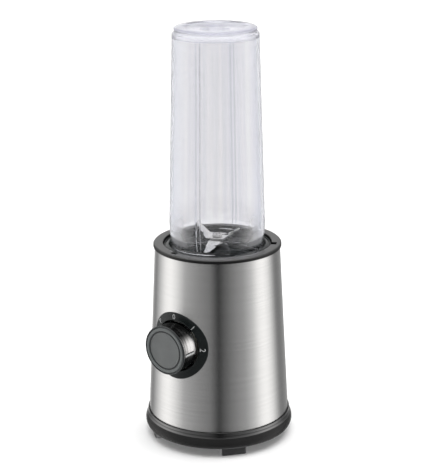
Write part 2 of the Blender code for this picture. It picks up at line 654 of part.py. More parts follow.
def make_rotor():
    bore = SHAFT_RADIUS + GAP
    cylinder_object("motor_shaft", SHAFT_RADIUS, SHAFT_BOTTOM, SHAFT_TOP, DARK_STEEL, steps=24)
    turned_object(
        "armature_core", ring_profile(bore, ARMATURE_RADIUS, CORE_BOTTOM, CORE_TOP),
        DARK_STEEL, steps=FINE_STEPS)
    for end_name, near, far in (("upper", CORE_TOP + GAP, CORE_TOP + 8.5 * MM),
                                ("lower", CORE_BOTTOM - GAP, CORE_BOTTOM - 8.5 * MM)):
        low, high = sorted((near, far))
        turned_object(
            f"armature_winding_{end_name}",
            [(12.0 * MM, high), (15.5 * MM, high - 2.0 * MM), (15.5 * MM, low + 2.0 * MM), (12.0 * MM, low),
             (bore, low), (bore, high)],
            COPPER, steps=FINE_STEPS)
    turned_object(
        "commutator", ring_profile(bore, COMMUTATOR_RADIUS, COMMUTATOR_BOTTOM, COMMUTATOR_TOP),
        COPPER, steps=FINE_STEPS)
    fan = turned_object(
        "cooling_fan",
        [(bore, FAN_TOP), (6.5 * MM, FAN_TOP),
         (6.5 * MM, FAN_BOTTOM + 1.6 * MM), (FAN_RADIUS, FAN_BOTTOM + 1.6 * MM),
         (FAN_RADIUS, FAN_BOTTOM), (bore, FAN_BOTTOM)],
        NYLON, steps=FINE_STEPS)
    for index in range(FAN_VANES):
        vane = block_at_azimuth(
            f"vane_guide_{index}", 12.0 * MM, FAN_RADIUS - 1.0 * MM, 1.4 * MM,
            FAN_BOTTOM + 1.0 * MM, FAN_TOP - 2.0 * MM, index * 360.0 / FAN_VANES, collection=CUTTERS)
        combine(fan, vane, "UNION")


def add_coupling_dogs(coupler, bottom, top, offset_deg):
    """Join a ring of narrow dogs to a coupler, which mesh with the other half's."""
    width = 2 * (DOG_INNER + DOG_OUTER) / 2 * math.tan(math.radians(DOG_ARC_DEG / 2))
    for index in range(DOG_COUNT):
        dog = block_at_azimuth(
            f"{coupler.name}_dog_guide_{index}", DOG_INNER, DOG_OUTER, width, bottom, top,
            offset_deg + index * 360.0 / DOG_COUNT, collection=CUTTERS)
        combine(coupler, dog, "UNION")


def make_couplers():
    bore = SHAFT_RADIUS + GAP
    drive = turned_object(
        "drive_coupler",
        [(bore, DRIVE_TOP), (10.0 * MM, DRIVE_TOP), (10.4 * MM, DRIVE_TOP - 0.4 * MM),
         (10.4 * MM, 140.4 * MM), (bore, 140.4 * MM)],
        NYLON, steps=FINE_STEPS)
    add_coupling_dogs(drive, DRIVE_TOP - 0.8 * MM, DRIVEN_BOTTOM - GAP, 0.0)
    shaft_bore = BLADE_SHAFT_RADIUS + GAP
    driven = turned_object(
        "driven_coupler",
        [(shaft_bore, 153.0 * MM), (10.0 * MM, 153.0 * MM), (10.4 * MM, 152.6 * MM),
         (10.4 * MM, DRIVEN_BOTTOM), (shaft_bore, DRIVEN_BOTTOM)],
        NYLON, steps=FINE_STEPS)
    add_coupling_dogs(driven, DRIVE_TOP + GAP, DRIVEN_BOTTOM + 0.8 * MM, DOG_OFFSET_DEG)


def lug_azimuth(notch_azimuth):
    """A lug rests this far round from the notch it is dropped through."""
    return notch_azimuth - TWIST_DEG


def make_lock_ring():
    """Ring in the well that the lugs turn, with a ramp underneath that works the interlock plunger."""
    ring = turned_object(
        "lock_ring", ring_profile(RING_INNER, RING_OUTER, RING_BOTTOM, RING_TOP), BLACK_PLASTIC)
    for index, notch in enumerate(NOTCH_AZIMUTHS):
        azimuth = lug_azimuth(notch)
        block = block_at_azimuth(
            f"lock_block_guide_{index}", HOLDER_WALL + 0.5 * MM, RING_OUTER - 1.0 * MM, LUG_WIDTH + 7.0 * MM,
            RING_TOP - 1.0 * MM, DOG_BLOCK_TOP, azimuth, collection=CUTTERS)
        combine(ring, block, "UNION")
        slot = block_at_azimuth(
            f"lock_slot_cutter_{index}", RING_INNER - 2.0 * MM, RING_OUTER + 4.0 * MM, LUG_WIDTH + 1.2 * MM,
            RING_TOP + 0.6 * MM, DOG_BLOCK_TOP + 1.0 * MM, azimuth, collection=CUTTERS)
        combine(ring, slot, "DIFFERENCE")
    run = math.radians(TWIST_DEG) * PLUNGER_Y
    slope = math.atan2(PLUNGER_TRAVEL, run)
    length = run + 8.0 * MM
    ramp = box_object(
        "ramp_cutter", (0.0, -9.5 * MM, -4.0 * MM), (length, 3.2 * MM, 0.0), collection=CUTTERS)
    ramp.data.transform(Matrix.Translation(ramp.location))
    ramp.location = (-2.5 * MM, PLUNGER_Y, RING_BOTTOM)
    ramp.rotation_euler = Euler((0.0, -slope, 0.0))
    combine(ring, ramp, "DIFFERENCE")


def make_interlock():
    """A sprung plunger through the well floor that closes a microswitch when the unit is locked."""
    plunger = turned_object(
        "interlock_plunger",
        [(0.0, PLUNGER_TOP), (PLUNGER_RADIUS - 0.7 * MM, PLUNGER_TOP),
         (PLUNGER_RADIUS, PLUNGER_TOP - 0.8 * MM),
         (PLUNGER_RADIUS, 131.4 * MM), (3.4 * MM, 131.4 * MM), (3.4 * MM, 130.2 * MM),
         (PLUNGER_RADIUS - 0.3 * MM, 130.2 * MM), (PLUNGER_RADIUS - 0.3 * MM, MICROSWITCH_TOP + GAP),
         (0.0, MICROSWITCH_TOP + GAP)],
        NYLON, steps=20)
    plunger.location = (0.0, PLUNGER_Y, 0.0)
    microswitch = box_object(
        "microswitch", (-10.0 * MM, PLUNGER_Y - 3.2 * MM, MICROSWITCH_TOP - 10.0 * MM),
        (10.0 * MM, PLUNGER_Y + 3.2 * MM, MICROSWITCH_TOP), BLACK_PLASTIC)
    add_bevel(microswitch, 0.4 * MM, 1)
    make_plunger_spring(MICROSWITCH_TOP + GAP, 130.2 * MM - GAP)


def make_plunger_spring(bottom, top):
    wire = 0.25 * MM
    coil_radius = 2.7 * MM
    turns = 4
    points_per_turn = 10
    count = turns * points_per_turn + 1
    curve = bpy.data.curves.new("plunger_spring", "CURVE")
    curve.dimensions = "3D"
    curve.bevel_depth = wire
    curve.bevel_resolution = 1
    curve.use_fill_caps = True
    spline = curve.splines.new("POLY")
    spline.points.add(count - 1)
    for index in range(count):
        angle = 2 * math.pi * index / points_per_turn
        height = bottom + wire + (top - bottom - 2 * wire) * index / (count - 1)
        spline.points[index].co = (coil_radius * math.cos(angle), coil_radius * math.sin(angle), height, 1.0)
    spring = bpy.data.objects.new("plunger_spring", curve)
    curve.materials.append(DARK_STEEL)
    spring.location = (0.0, PLUNGER_Y, 0.0)
    PARTS.objects.link(spring)


def make_blade_holder():
    """Threaded ring, floor and hub in one moulding, with three bayonet lugs."""
    bush_bore = BUSH_RADIUS + GAP
    holder = turned_object(
        "blade_holder",
        [(HOLDER_BORE + 0.5 * MM, HOLDER_TOP), (HOLDER_RIM - 0.5 * MM, HOLDER_TOP),
         (HOLDER_RIM, HOLDER_TOP - 0.6 * MM), (HOLDER_RIM, HOLDER_TOP - 2.6 * MM),
         (HOLDER_WALL, HOLDER_TOP - 3.6 * MM), (HOLDER_WALL, HOLDER_BOTTOM),
         (HOLDER_WALL - 2.2 * MM, HOLDER_BOTTOM), (HOLDER_WALL - 2.4 * MM, HOLDER_FLOOR - 2.4 * MM),
         (14.0 * MM, HOLDER_FLOOR - 2.4 * MM), (11.6 * MM, HOLDER_FLOOR + 2.8 * MM),
         (bush_bore, HOLDER_FLOOR + 2.8 * MM),
         (bush_bore, HUB_TOP), (HUB_TOP_RADIUS, HUB_TOP), (HUB_TOP_RADIUS + 2.2 * MM, HUB_TOP - 1.2 * MM),
         (HUB_BASE_RADIUS - 0.8 * MM, HOLDER_FLOOR + 6.0 * MM), (HUB_BASE_RADIUS + 2.0 * MM, HOLDER_FLOOR),
         (HOLDER_BORE, HOLDER_FLOOR), (HOLDER_BORE, HOLDER_TOP - 0.6 * MM)],
        BLACK_PLASTIC)
    for index, notch in enumerate(NOTCH_AZIMUTHS):
        lug = block_at_azimuth(
            f"lug_guide_{index}", HOLDER_WALL - 1.0 * MM, LUG_OUTER, LUG_WIDTH, LUG_BOTTOM, LUG_TOP,
            lug_azimuth(notch), collection=CUTTERS)
        combine(holder, lug, "UNION")
    turned_object(
        "spindle_bush",
        [(BLADE_SHAFT_RADIUS + GAP, HUB_TOP + 1.2 * MM), (BUSH_RADIUS - 0.6 * MM, HUB_TOP + 1.2 * MM),
         (BUSH_RADIUS, HUB_TOP + 0.6 * MM), (BUSH_RADIUS, HOLDER_FLOOR + 2.9 * MM),
         (BLADE_SHAFT_RADIUS + GAP, HOLDER_FLOOR + 2.9 * MM)],
        BLADE_STEEL, steps=FINE_STEPS)


def blade_object(name, height, rise, reach, sweep_deg, turn_deg, root_width, tip_width):
    """A bar with a flat middle and two arms bent up or down, each swept to a narrow tip."""
    plate_half = 7.0 * MM
    bpy.ops.mesh.primitive_grid_add(x_subdivisions=3, y_subdivisions=1, size=2.0)
    blade = bpy.context.active_object
    blade.name = name
    blade.data.name = name
    for vertex in blade.data.vertices:
        station = round((vertex.co.x + 1.0) * 1.5)
        edge = 1 if vertex.co.y > 0 else -1
        side = -1 if station < 2 else 1
        is_tip = station in (0, 3)
        if is_tip:
            sweep = math.radians(sweep_deg)
            middle = Vector((side * reach * math.cos(sweep), -side * reach * math.sin(sweep), rise))
            vertex.co = middle + Vector((0.0, edge * tip_width / 2, 0.0))
        else:
            vertex.co = Vector((side * plate_half, edge * root_width / 2, 0.0))
    solidify = blade.modifiers.new("thickness", "SOLIDIFY")
    solidify.thickness = BLADE_THICKNESS
    solidify.offset = 0.0
    solidify.use_even_offset = True
    hole = cylinder_object(
        f"{name}_hole_cutter", BLADE_SHAFT_RADIUS + GAP, -5.0 * MM, 5.0 * MM, collection=CUTTERS, steps=24)
    hole.location = (0.0, 0.0, height)
    combine(blade, hole, "DIFFERENCE")
    blade.location = (0.0, 0.0, height)
    blade.rotation_euler = (0.0, 0.0, math.radians(turn_deg))
    blade.data.materials.append(BLADE_STEEL)
    for collection in list(blade.users_collection):
        collection.objects.unlink(blade)
    PARTS.objects.link(blade)
    return blade


def make_blades():
    """Upper blade with raised arms, lower blade across it with dropped arms, and their shaft and nut."""
    blade_object(
        "upper_blade", UPPER_BLADE_Z, 11.5 * MM, 21.5 * MM, 16.0, BLADE_TURN_DEG, 12.0 * MM, 2.4 * MM)
    blade_object(
        "lower_blade", LOWER_BLADE_Z, -6.6 * MM, 19.5 * MM, 12.0, BLADE_TURN_DEG + 90.0, 10.0 * MM, 2.0 * MM)
    collar_top = LOWER_BLADE_Z - BLADE_THICKNESS / 2 - GAP
    turned_object(
        "blade_shaft",
        [(0.0, UPPER_BLADE_Z + 2.6 * MM), (BLADE_SHAFT_RADIUS - 0.4 * MM, UPPER_BLADE_Z + 2.6 * MM),
         (BLADE_SHAFT_RADIUS, UPPER_BLADE_Z + 2.2 * MM), (BLADE_SHAFT_RADIUS, 150.4 * MM), (0.0, 150.4 * MM)],
        BLADE_STEEL, steps=24)
    turned_object(
        "blade_spacer",
        ring_profile(BLADE_SHAFT_RADIUS + GAP, 3.9 * MM, HUB_TOP + 1.5 * MM, collar_top),
        BLADE_STEEL, steps=24)
    nut_bottom = UPPER_BLADE_Z + BLADE_THICKNESS / 2 + GAP
    nut = cylinder_object("blade_nut", 4.2 * MM, nut_bottom, nut_bottom + 1.4 * MM, BLADE_STEEL, steps=6)
    hole = cylinder_object(
        "nut_hole_cutter", BLADE_SHAFT_RADIUS + GAP, nut_bottom - 1.0 * MM, nut_bottom + 3.0 * MM,
        collection=CUTTERS, steps=24)
    combine(nut, hole, "DIFFERENCE")


def make_cup_seal():
    bottom = HOLDER_FLOOR + GAP
    top = CUP_BOTTOM - GAP
    turned_object(
        "cup_seal",
        [(33.6 * MM, top), (37.8 * MM, top), (38.2 * MM, top - 0.4 * MM),
         (38.2 * MM, bottom), (33.6 * MM, bottom)],
        SEAL_RUBBER)


def make_cup():
    """Inverted clear cup: threaded neck below, closed end and stacking rim above, two mixing ribs."""
    neck_inner = CUP_NECK_RADIUS - CUP_WALL
    upper_inner = CUP_UPPER_RADIUS - CUP_WALL
    cup = turned_object(
        "cup",
        [(0.0, CUP_END_OUTER), (23.6 * MM, CUP_END_OUTER), (24.2 * MM, CUP_TOP), (28.4 * MM, CUP_TOP),
         (CUP_RIM_RADIUS - 1.4 * MM, CUP_RIM_Z + 1.0 * MM), (CUP_RIM_RADIUS, CUP_RIM_Z),
         (CUP_RIM_RADIUS - 0.1 * MM, CUP_RIM_Z - 0.8 * MM), (CUP_RIM_RADIUS - 0.5 * MM, CUP_RIM_Z - 1.4 * MM),
         (CUP_RIM_RADIUS - 0.4 * MM, CUP_RIM_Z - 2.6 * MM), (CUP_RIM_RADIUS + 0.9 * MM, CUP_RIM_Z - 3.6 * MM),
         (34.23 * MM, CUP_RIM_Z - 4.6 * MM), (CUP_UPPER_RADIUS, CUP_UPPER_Z),
         (CUP_BELLY_RADIUS, CUP_BELLY_Z + 4.0 * MM), (CUP_BELLY_RADIUS, CUP_BELLY_Z - 4.0 * MM),
         (CUP_BELLY_RADIUS - 0.6 * MM, CUP_NECK_TOP + 4.0 * MM), (CUP_NECK_RADIUS, CUP_NECK_TOP - 1.0 * MM),
         (CUP_NECK_RADIUS, CUP_BOTTOM + 0.6 * MM), (CUP_NECK_RADIUS - 0.6 * MM, CUP_BOTTOM),
         (neck_inner, CUP_BOTTOM), (neck_inner, CUP_NECK_TOP), (CUP_BELLY_RADIUS - CUP_WALL, CUP_BELLY_Z),
         (upper_inner, CUP_UPPER_Z), (upper_inner - 0.4 * MM, CUP_END_INNER - 3.6 * MM),
         (upper_inner - 3.4 * MM, CUP_END_INNER), (0.0, CUP_END_INNER)],
        CLEAR_PLASTIC, steps=48)
    slope = (CUP_BELLY_RADIUS - CUP_UPPER_RADIUS) / (CUP_UPPER_Z - CUP_BELLY_Z)
    for index, azimuth in enumerate(RIB_AZIMUTHS):
        low = CUP_NECK_TOP + 1.0 * MM
        high = CUP_END_INNER - 2.0 * MM
        rib = block_at_azimuth(
            f"rib_guide_{index}", -RIB_DEPTH, 1.2 * MM, RIB_WIDTH, low, high, 0.0, collection=CUTTERS)
        for vertex in rib.data.vertices:
            inner_radius = CUP_BELLY_RADIUS - CUP_WALL - slope * (vertex.co.z - CUP_BELLY_Z)
            vertex.co.y -= inner_radius - 0.2 * MM
        rib.rotation_euler = (0.0, 0.0, math.radians(azimuth))
        combine(cup, rib, "UNION")


def freeze(obj, depsgraph):
    """Turn an object with modifiers, or a curve, into a closed mesh that is shaded smooth."""
    mesh = bpy.data.meshes.new_from_object(obj.evaluated_get(depsgraph))
    bm = bmesh.new()
    bm.from_mesh(mesh)
    bmesh.ops.remove_doubles(bm, verts=bm.verts, dist=0.002 * MM)
    bm.to_mesh(mesh)
    bm.free()
    mesh.shade_smooth()
    mesh.set_sharp_from_angle(angle=math.radians(32))
    if obj.type == "CURVE":
        solid = bpy.data.objects.new(obj.name, mesh)
        solid.matrix_world = obj.matrix_world
        name = obj.name
        bpy.data.objects.remove(obj, do_unlink=True)
        solid.name = name
        PARTS.objects.link(solid)
    else:
        obj.modifiers.clear()
        obj.data = mesh


def build():
    make_feet()
    make_bottom_cover()
    make_cover_screws()
    make_base_ring()
    make_steel_shell()
    make_top_collar()
    make_docking_well()
    make_dial_bezel()
    make_control()
    make_cord_gland()
    make_stator()
    make_motor_frame()
    make_brush_gear()
    make_rotor()
    make_couplers()
    make_lock_ring()
    make_interlock()
    make_blade_holder()
    make_blades()
    make_cup_seal()
    make_cup()
    bpy.context.view_layer.update()
    depsgraph = bpy.context.evaluated_depsgraph_get()
    for obj in [item for item in PARTS.objects if item.type in {"MESH", "CURVE"}]:
        freeze(obj, depsgraph)


build()
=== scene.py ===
from math import copysign, cos, hypot, pi, radians, sin, sqrt, tan

import bmesh
import bpy
from mathutils import Matrix, Vector


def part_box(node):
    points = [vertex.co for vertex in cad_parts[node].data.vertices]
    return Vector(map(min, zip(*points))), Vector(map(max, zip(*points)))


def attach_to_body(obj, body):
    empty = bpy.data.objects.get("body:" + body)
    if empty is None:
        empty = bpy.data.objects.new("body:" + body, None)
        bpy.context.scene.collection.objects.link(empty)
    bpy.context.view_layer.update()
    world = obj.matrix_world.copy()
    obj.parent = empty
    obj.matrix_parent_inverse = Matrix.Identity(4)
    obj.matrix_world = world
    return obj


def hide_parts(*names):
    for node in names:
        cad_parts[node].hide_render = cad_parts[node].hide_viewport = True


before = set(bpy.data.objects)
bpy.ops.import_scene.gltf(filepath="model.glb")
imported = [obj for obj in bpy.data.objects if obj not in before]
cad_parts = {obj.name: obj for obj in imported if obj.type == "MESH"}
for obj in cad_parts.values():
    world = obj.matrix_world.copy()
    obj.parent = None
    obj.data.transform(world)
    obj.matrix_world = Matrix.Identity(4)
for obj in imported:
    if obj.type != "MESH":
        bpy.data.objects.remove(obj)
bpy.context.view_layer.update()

MM = 0.001  # lengths are in millimetres; meshes, matrices and node trees are in metres

# Camera, as solved from the rings of the flange, the collar and the cup
CAMERA_AZIMUTH = 38.5  # degrees about +Z from -Y towards +X
CAMERA_DISTANCE = 1124.7  # from the blender's axis, on the level
CAMERA_HEIGHT = 517.2
CAMERA_LENS = 110.81  # on a sensor 36 mm along the longer side
CAMERA_PITCH = 17.249  # degrees down
CAMERA_YAW = 0.094
CAMERA_ROLL = -0.524

FINE = 192  # facets round the large turned pieces
SMOOTH = 256  # facets round the pieces that show their outline most
MEDIUM = 96
SMALL = 48

CUP_NECK_CLEARNESS = 0.997  # share of the light that passes clear rather than hazed
CUP_WALL_CLEARNESS = 0.95
CUP_END_CLEARNESS = 0.76
CUP_NECK_EDGE_HAZE = 0.42
RIBS = (14.5, 194.5)  # azimuths of the cup's two mixing ribs
NOTCHES = (119.0, -8.5, -125.0)  # azimuths of the collar's three bayonet notches


# -------- measuring the frame

def low(node):
    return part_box(node)[0] / MM


def high(node):
    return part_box(node)[1] / MM


def middle(node):
    return (low(node) + high(node)) / 2


def heights(node):
    return low(node).z, high(node).z


def radius_near(node, height, slack=0.4):
    """Largest distance from the axis of a CAD node's vertices near a height."""
    return max(hypot(v.co.x, v.co.y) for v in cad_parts[node].data.vertices
               if abs(v.co.z / MM - height) < slack) / MM


def around(radius, degrees, height=0.0):
    """A point at an azimuth, measured about +Z from -Y towards +X."""
    angle = radians(degrees)
    return Vector((radius * sin(angle), -radius * cos(angle), height))


KNOB_Z = middle("dial_bezel").z
GLAND_Z = middle("cord_gland").z


# -------- mesh tools

def link(name, data):
    obj = bpy.data.objects.new(name, data)
    bpy.context.scene.collection.objects.link(obj)
    return obj


def finish_mesh(mesh, sharp_degrees=38):
    mesh.shade_smooth()
    mesh.set_sharp_from_angle(angle=radians(sharp_degrees))


def object_from_bmesh(name, bm, sharp_degrees=38):
    mesh = bpy.data.meshes.new(name)
    bmesh.ops.recalc_face_normals(bm, faces=bm.faces)
    bm.to_mesh(mesh)
    bm.free()
    finish_mesh(mesh, sharp_degrees)
    return link(name, mesh)


def rounded(points, segments=4):
    """A closed outline from (radius, height) or (radius, height, fillet) corners, each fillet an arc."""
    outline = []
    count = len(points)
    for index, point in enumerate(points):
        corner = Vector(point[:2])
        if len(point) < 3:
            outline.append(tuple(corner))
            continue
        back = Vector(points[index - 1][:2]) - corner
        ahead = Vector(points[(index + 1) % count][:2]) - corner
        turn = back.angle(ahead)
        reach = min(point[2] / tan(turn / 2), 0.49 * back.length, 0.49 * ahead.length)
        start = corner + back.normalized() * reach
        end = corner + ahead.normalized() * reach
        for step in range(segments + 1):
            t = step / segments
            outline.append(tuple(start.lerp(corner, t).lerp(corner.lerp(end, t), t)))
    return outline


def skin(bm, rings):
    """Faces between each ring of vertices and the next, and from the last ring to the first."""
    for ring, after in zip(rings, rings[1:] + rings[:1]):
        steps = max(len(ring), len(after))
        for step in range(steps if steps > 1 else 0):
            following = (step + 1) % steps
            if len(ring) == 1:
                bm.faces.new((ring[0], after[step], after[following]))
            elif len(after) == 1:
                bm.faces.new((ring[step], after[0], ring[following]))
            else:
                bm.faces.new((ring[step], after[step], after[following], ring[following]))


def turned(name, outline, steps=FINE, relief=None, angles=None, sharp_degrees=38):
    """Turn a closed outline of (radius, height) points about Z.

    relief(angle, radius, height, index) may return a changed radius. Points on the axis become one vertex.
    """
    bm = bmesh.new()
    if angles is None:
        angles = [2 * pi * step / steps for step in range(steps)]
    rings = []
    for index, (radius, height) in enumerate(outline):
        if radius < 0.0001:
            rings.append([bm.verts.new((0.0, 0.0, height * MM))])
            continue
        ring = []
        for angle in angles:
            reach = (relief(angle, radius, height, index) if relief else radius) * MM
            ring.append(bm.verts.new((reach * cos(angle), reach * sin(angle), height * MM)))
        rings.append(ring)
    skin(bm, rings)
    return object_from_bmesh(name, bm, sharp_degrees)


def block(name, size, bevel=0.0, segments=3):
    bm = bmesh.new()
    bmesh.ops.create_cube(bm, size=1.0)
    bmesh.ops.scale(bm, vec=Vector(size) * MM, verts=bm.verts)
    if bevel > 0.0:
        bmesh.ops.bevel(bm, geom=bm.edges[:], offset=bevel * MM, segments=segments, profile=0.5, affect="EDGES")
    return object_from_bmesh(name, bm)


def cylinder(name, radius, bottom, top, steps=MEDIUM):
    return turned(name, [(0.0, top), (radius, top), (radius, bottom), (0.0, bottom)], steps)


def rotation(degrees, axis="Z"):
    return Matrix.Rotation(radians(degrees), 4, axis)


def place(obj, location, rotation_z=0.0, rotation_x=0.0):
    obj.matrix_world = Matrix.Translation(Vector(location) * MM) @ rotation(rotation_z) @ rotation(rotation_x, "X")
    return obj


def bake(obj):
    """Put an object's place and modifiers into its mesh."""
    bpy.context.view_layer.update()
    depsgraph = bpy.context.evaluated_depsgraph_get()
    mesh = bpy.data.meshes.new_from_object(obj.evaluated_get(depsgraph))
    mesh.transform(obj.matrix_world)
    obj.modifiers.clear()
    obj.data = mesh
    obj.matrix_world = Matrix.Identity(4)
    return obj


def combine(target, tools, operation="DIFFERENCE"):
    """Cut or join several tools into a target, then remove them."""
    for tool in tools:
        boolean = target.modifiers.new("boolean", "BOOLEAN")
        boolean.operation = operation
        boolean.solver = "EXACT"
        boolean.object = tool
    bake(target)
    for tool in tools:
        bpy.data.objects.remove(tool, do_unlink=True)
    finish_mesh(target.data)


def attach(obj, body, material, slot, *nodes):
    """Give a piece its material, body and the CAD nodes it stands for. The slot argument is not used."""
    obj.data.materials.clear()
    obj.data.materials.append(material)
    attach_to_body(obj, body)
    if nodes:
        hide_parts(*nodes)


# -------- materials

class Nodes:
    """A short way to write the node tree of a material or a world."""

    def __init__(self, owner):
        owner.use_nodes = True
        self.owner = owner
        self.tree = owner.node_tree
        self.shader = self.tree.nodes.get("Principled BSDF") or self.tree.nodes["Background"]

    def node(self, kind, inputs=None, **settings):
        node = self.tree.nodes.new(kind)
        for key, value in settings.items():
            setattr(node, key, value)
        for key, value in (inputs or {}).items():
            self.feed(node.inputs[key], value)
        return node

    def feed(self, socket, value):
        if isinstance(value, bpy.types.NodeSocket):
            self.tree.links.new(value, socket)
        else:
            socket.default_value = value

    def set(self, **values):
        """Set the shader's sockets by name, with _ for a space."""
        for key, value in values.items():
            self.feed(self.shader.inputs[key.replace("_", " ")], value)

    def math(self, operation, first, second=0.0):
        return self.node("ShaderNodeMath", {0: first, 1: second}, operation=operation).outputs[0]

    def coordinates(self):
        return self.node("ShaderNodeTexCoord").outputs["Object"]

    def axes(self, vector=None):
        """The X, Y and Z of a vector, or of the object's coordinates."""
        return self.node("ShaderNodeSeparateXYZ", {0: vector or self.coordinates()}).outputs

    def turned_coordinates(self, round_scale, height_scale):
        """Coordinates that run round the Z axis and up it, for marks made on a lathe."""
        at = self.axes()
        angle = self.math("ARCTAN2", at["Y"], at["X"])
        return self.node("ShaderNodeCombineXYZ", {
            0: self.math("MULTIPLY", self.math("COSINE", angle), round_scale),
            1: self.math("MULTIPLY", self.math("SINE", angle), round_scale),
            2: self.math("MULTIPLY", at["Z"], height_scale)}).outputs[0]

    def stretched(self, *scale):
        """Object coordinates, stretched by one scale or by one for each axis."""
        mapping = self.node("ShaderNodeMapping", {"Vector": self.coordinates()})
        mapping.inputs["Scale"].default_value = scale if len(scale) == 3 else scale * 3
        return mapping.outputs[0]

    def noise(self, vector, detail=2.0, roughness=0.5):
        return self.node("ShaderNodeTexNoise", {
            "Vector": vector, "Scale": 1.0, "Detail": detail, "Roughness": roughness}).outputs[0]

    def span(self, value, low_out=0.0, high_out=1.0, low_in=0.3, high_in=0.7):
        """Map a value to a range. The range it comes from fits a noise."""
        return self.node("ShaderNodeMapRange", {
            0: value, 1: low_in, 2: high_in, 3: low_out, 4: high_out}).outputs[0]

    def fade(self, axis, low_in, high_in, low_out=0.0, high_out=1.0):
        """Go from one value to another between two places along an object's axis."""
        return self.span(self.axes()[axis], low_out, high_out, low_in * MM, high_in * MM)

    def mix(self, factor, first, second):
        """Blend two colours, each three numbers or another node's output."""
        node = self.node("ShaderNodeMix", {0: factor}, data_type="RGBA")
        for socket, colour in ((6, first), (7, second)):
            self.feed(node.inputs[socket], colour if isinstance(colour, bpy.types.NodeSocket) else (*colour, 1.0))
        return node.outputs[2]

    def shade(self, noise, dark, light):
        return self.mix(self.span(noise), dark, light)

    def ramp(self, value, stops):
        """A colour ramp from (position, colour) stops in rising order."""
        node = self.node("ShaderNodeValToRGB", {0: value})
        elements = node.color_ramp.elements
        elements.remove(elements[0])
        for index, (position, colour) in enumerate(stops):
            element = elements[0] if index == 0 else elements.new(position)
            element.position = position
            element.color = (*colour, 1.0)
        return node.outputs[0]

    def bump(self, height, strength, distance):
        node = self.node("ShaderNodeBump", {"Height": height, "Strength": strength, "Distance": distance * MM})
        self.set(Normal=node.outputs[0])


def new_material(name):
    return Nodes(bpy.data.materials.new(name))


def brushed_sleeve_material():
    """Stainless sheet brushed round the sleeve: reflections smear up and down, and stay sharp round it."""
    n = new_material("sleeve_brushed_steel")
    fine = n.noise(n.turned_coordinates(1.6, 3000.0), 3.0, 0.6)
    coarse = n.noise(n.turned_coordinates(0.7, 900.0))
    streaks = n.math("ADD", n.math("MULTIPLY", fine, 0.45), n.math("MULTIPLY", coarse, 0.55))
    n.set(Metallic=1.0, Base_Color=n.shade(streaks, (0.716, 0.713, 0.706), (0.784, 0.781, 0.774)),
          Roughness=n.span(streaks, 0.225, 0.240), Anisotropic=0.96, Anisotropic_Rotation=0.25,
          Tangent=n.node("ShaderNodeTangent", direction_type="RADIAL", axis="Z").outputs[0])
    n.bump(streaks, 0.007, 0.02)
    return n.owner


def moulded_plastic(name, dark, light, roughness, grain=2600.0, bump=0.25, specular=0.5):
    """Moulded plastic with a fine spark-eroded grain and slight blotches of colour."""
    n = new_material(name)
    texture = n.noise(n.stretched(grain), 3.0, 0.6)
    n.set(Base_Color=n.shade(n.noise(n.stretched(60.0)), dark, light), Specular_IOR_Level=specular,
          Roughness=n.span(texture, roughness - 0.05, roughness + 0.05))
    n.bump(texture, bump, 0.05)
    return n.owner


def banded_plastic(name, bands, roughness, grain, bump):
    """Moulded plastic whose grey, specular level and metallic share change up its height. Its lighter grey bands are
    painted highlights and painted reflections.

    Each band is (height it starts at, grey, specular level, metallic share).
    """
    n = new_material(name)
    bottom, top = bands[0][0], bands[-1][0]
    along = n.fade("Z", bottom, top)
    # the grey ramp carries painted light as well as the plastic's own dark colour
    grey, specular, metallic = (
        n.ramp(along, [((band[0] - bottom) / (top - bottom), (band[item],) * 3) for band in bands])
        for item in (1, 2, 3))
    texture = n.noise(n.stretched(grain), 3.0, 0.6)
    n.set(Base_Color=grey, Specular_IOR_Level=specular, Metallic=metallic,
          Roughness=n.span(texture, roughness - 0.05, roughness + 0.05))
    n.bump(texture, bump, 0.05)
    return n.owner


def knob_chrome_material():
    """Plating with a painted reflection: its colour is bright on the side beside the pointer's slot and painted dark
    over the rest.
    """
    n = new_material("knob_plated_side")
    # painted reflection: the bright side and the dark rest stand in for what the plating mirrors, and they turn with
    # the knob
    bright = n.math("MULTIPLY", n.fade("X", 13.5, 18.0), n.fade("Z", KNOB_Z - 3.0, KNOB_Z - 1.2))
    n.set(Metallic=1.0, Base_Color=n.mix(bright, (0.07, 0.07, 0.07), (0.74, 0.73, 0.725)),
          Roughness=n.span(n.noise(n.stretched(300.0), 3.0), 0.15, 0.21))
    return n.owner


def knob_face_material(name, dark, light, roughness=0.34):
    """Satin metallic paint: a fine sparkle and a soft sheen."""
    n = new_material(name)
    flake = n.noise(n.stretched(5200.0))
    n.set(Base_Color=n.shade(n.noise(n.stretched(90.0)), dark, light),
          Roughness=n.span(flake, roughness - 0.06, roughness + 0.06), Metallic=0.35)
    n.bump(flake, 0.10, 0.02)
    return n.owner


def ground_steel_material(name, scale, light, roughness):
    """Metal ground in one direction."""
    n = new_material(name)
    lines = n.noise(n.stretched(*scale), 3.0, 0.6)
    tone = light * 0.86
    n.set(Metallic=1.0, Base_Color=n.shade(lines, (tone, tone, tone * 0.98), (light, light, light * 0.985)),
          Roughness=n.span(lines, roughness - 0.06, roughness + 0.08))
    n.bump(lines, 0.12, 0.03)
    return n.owner


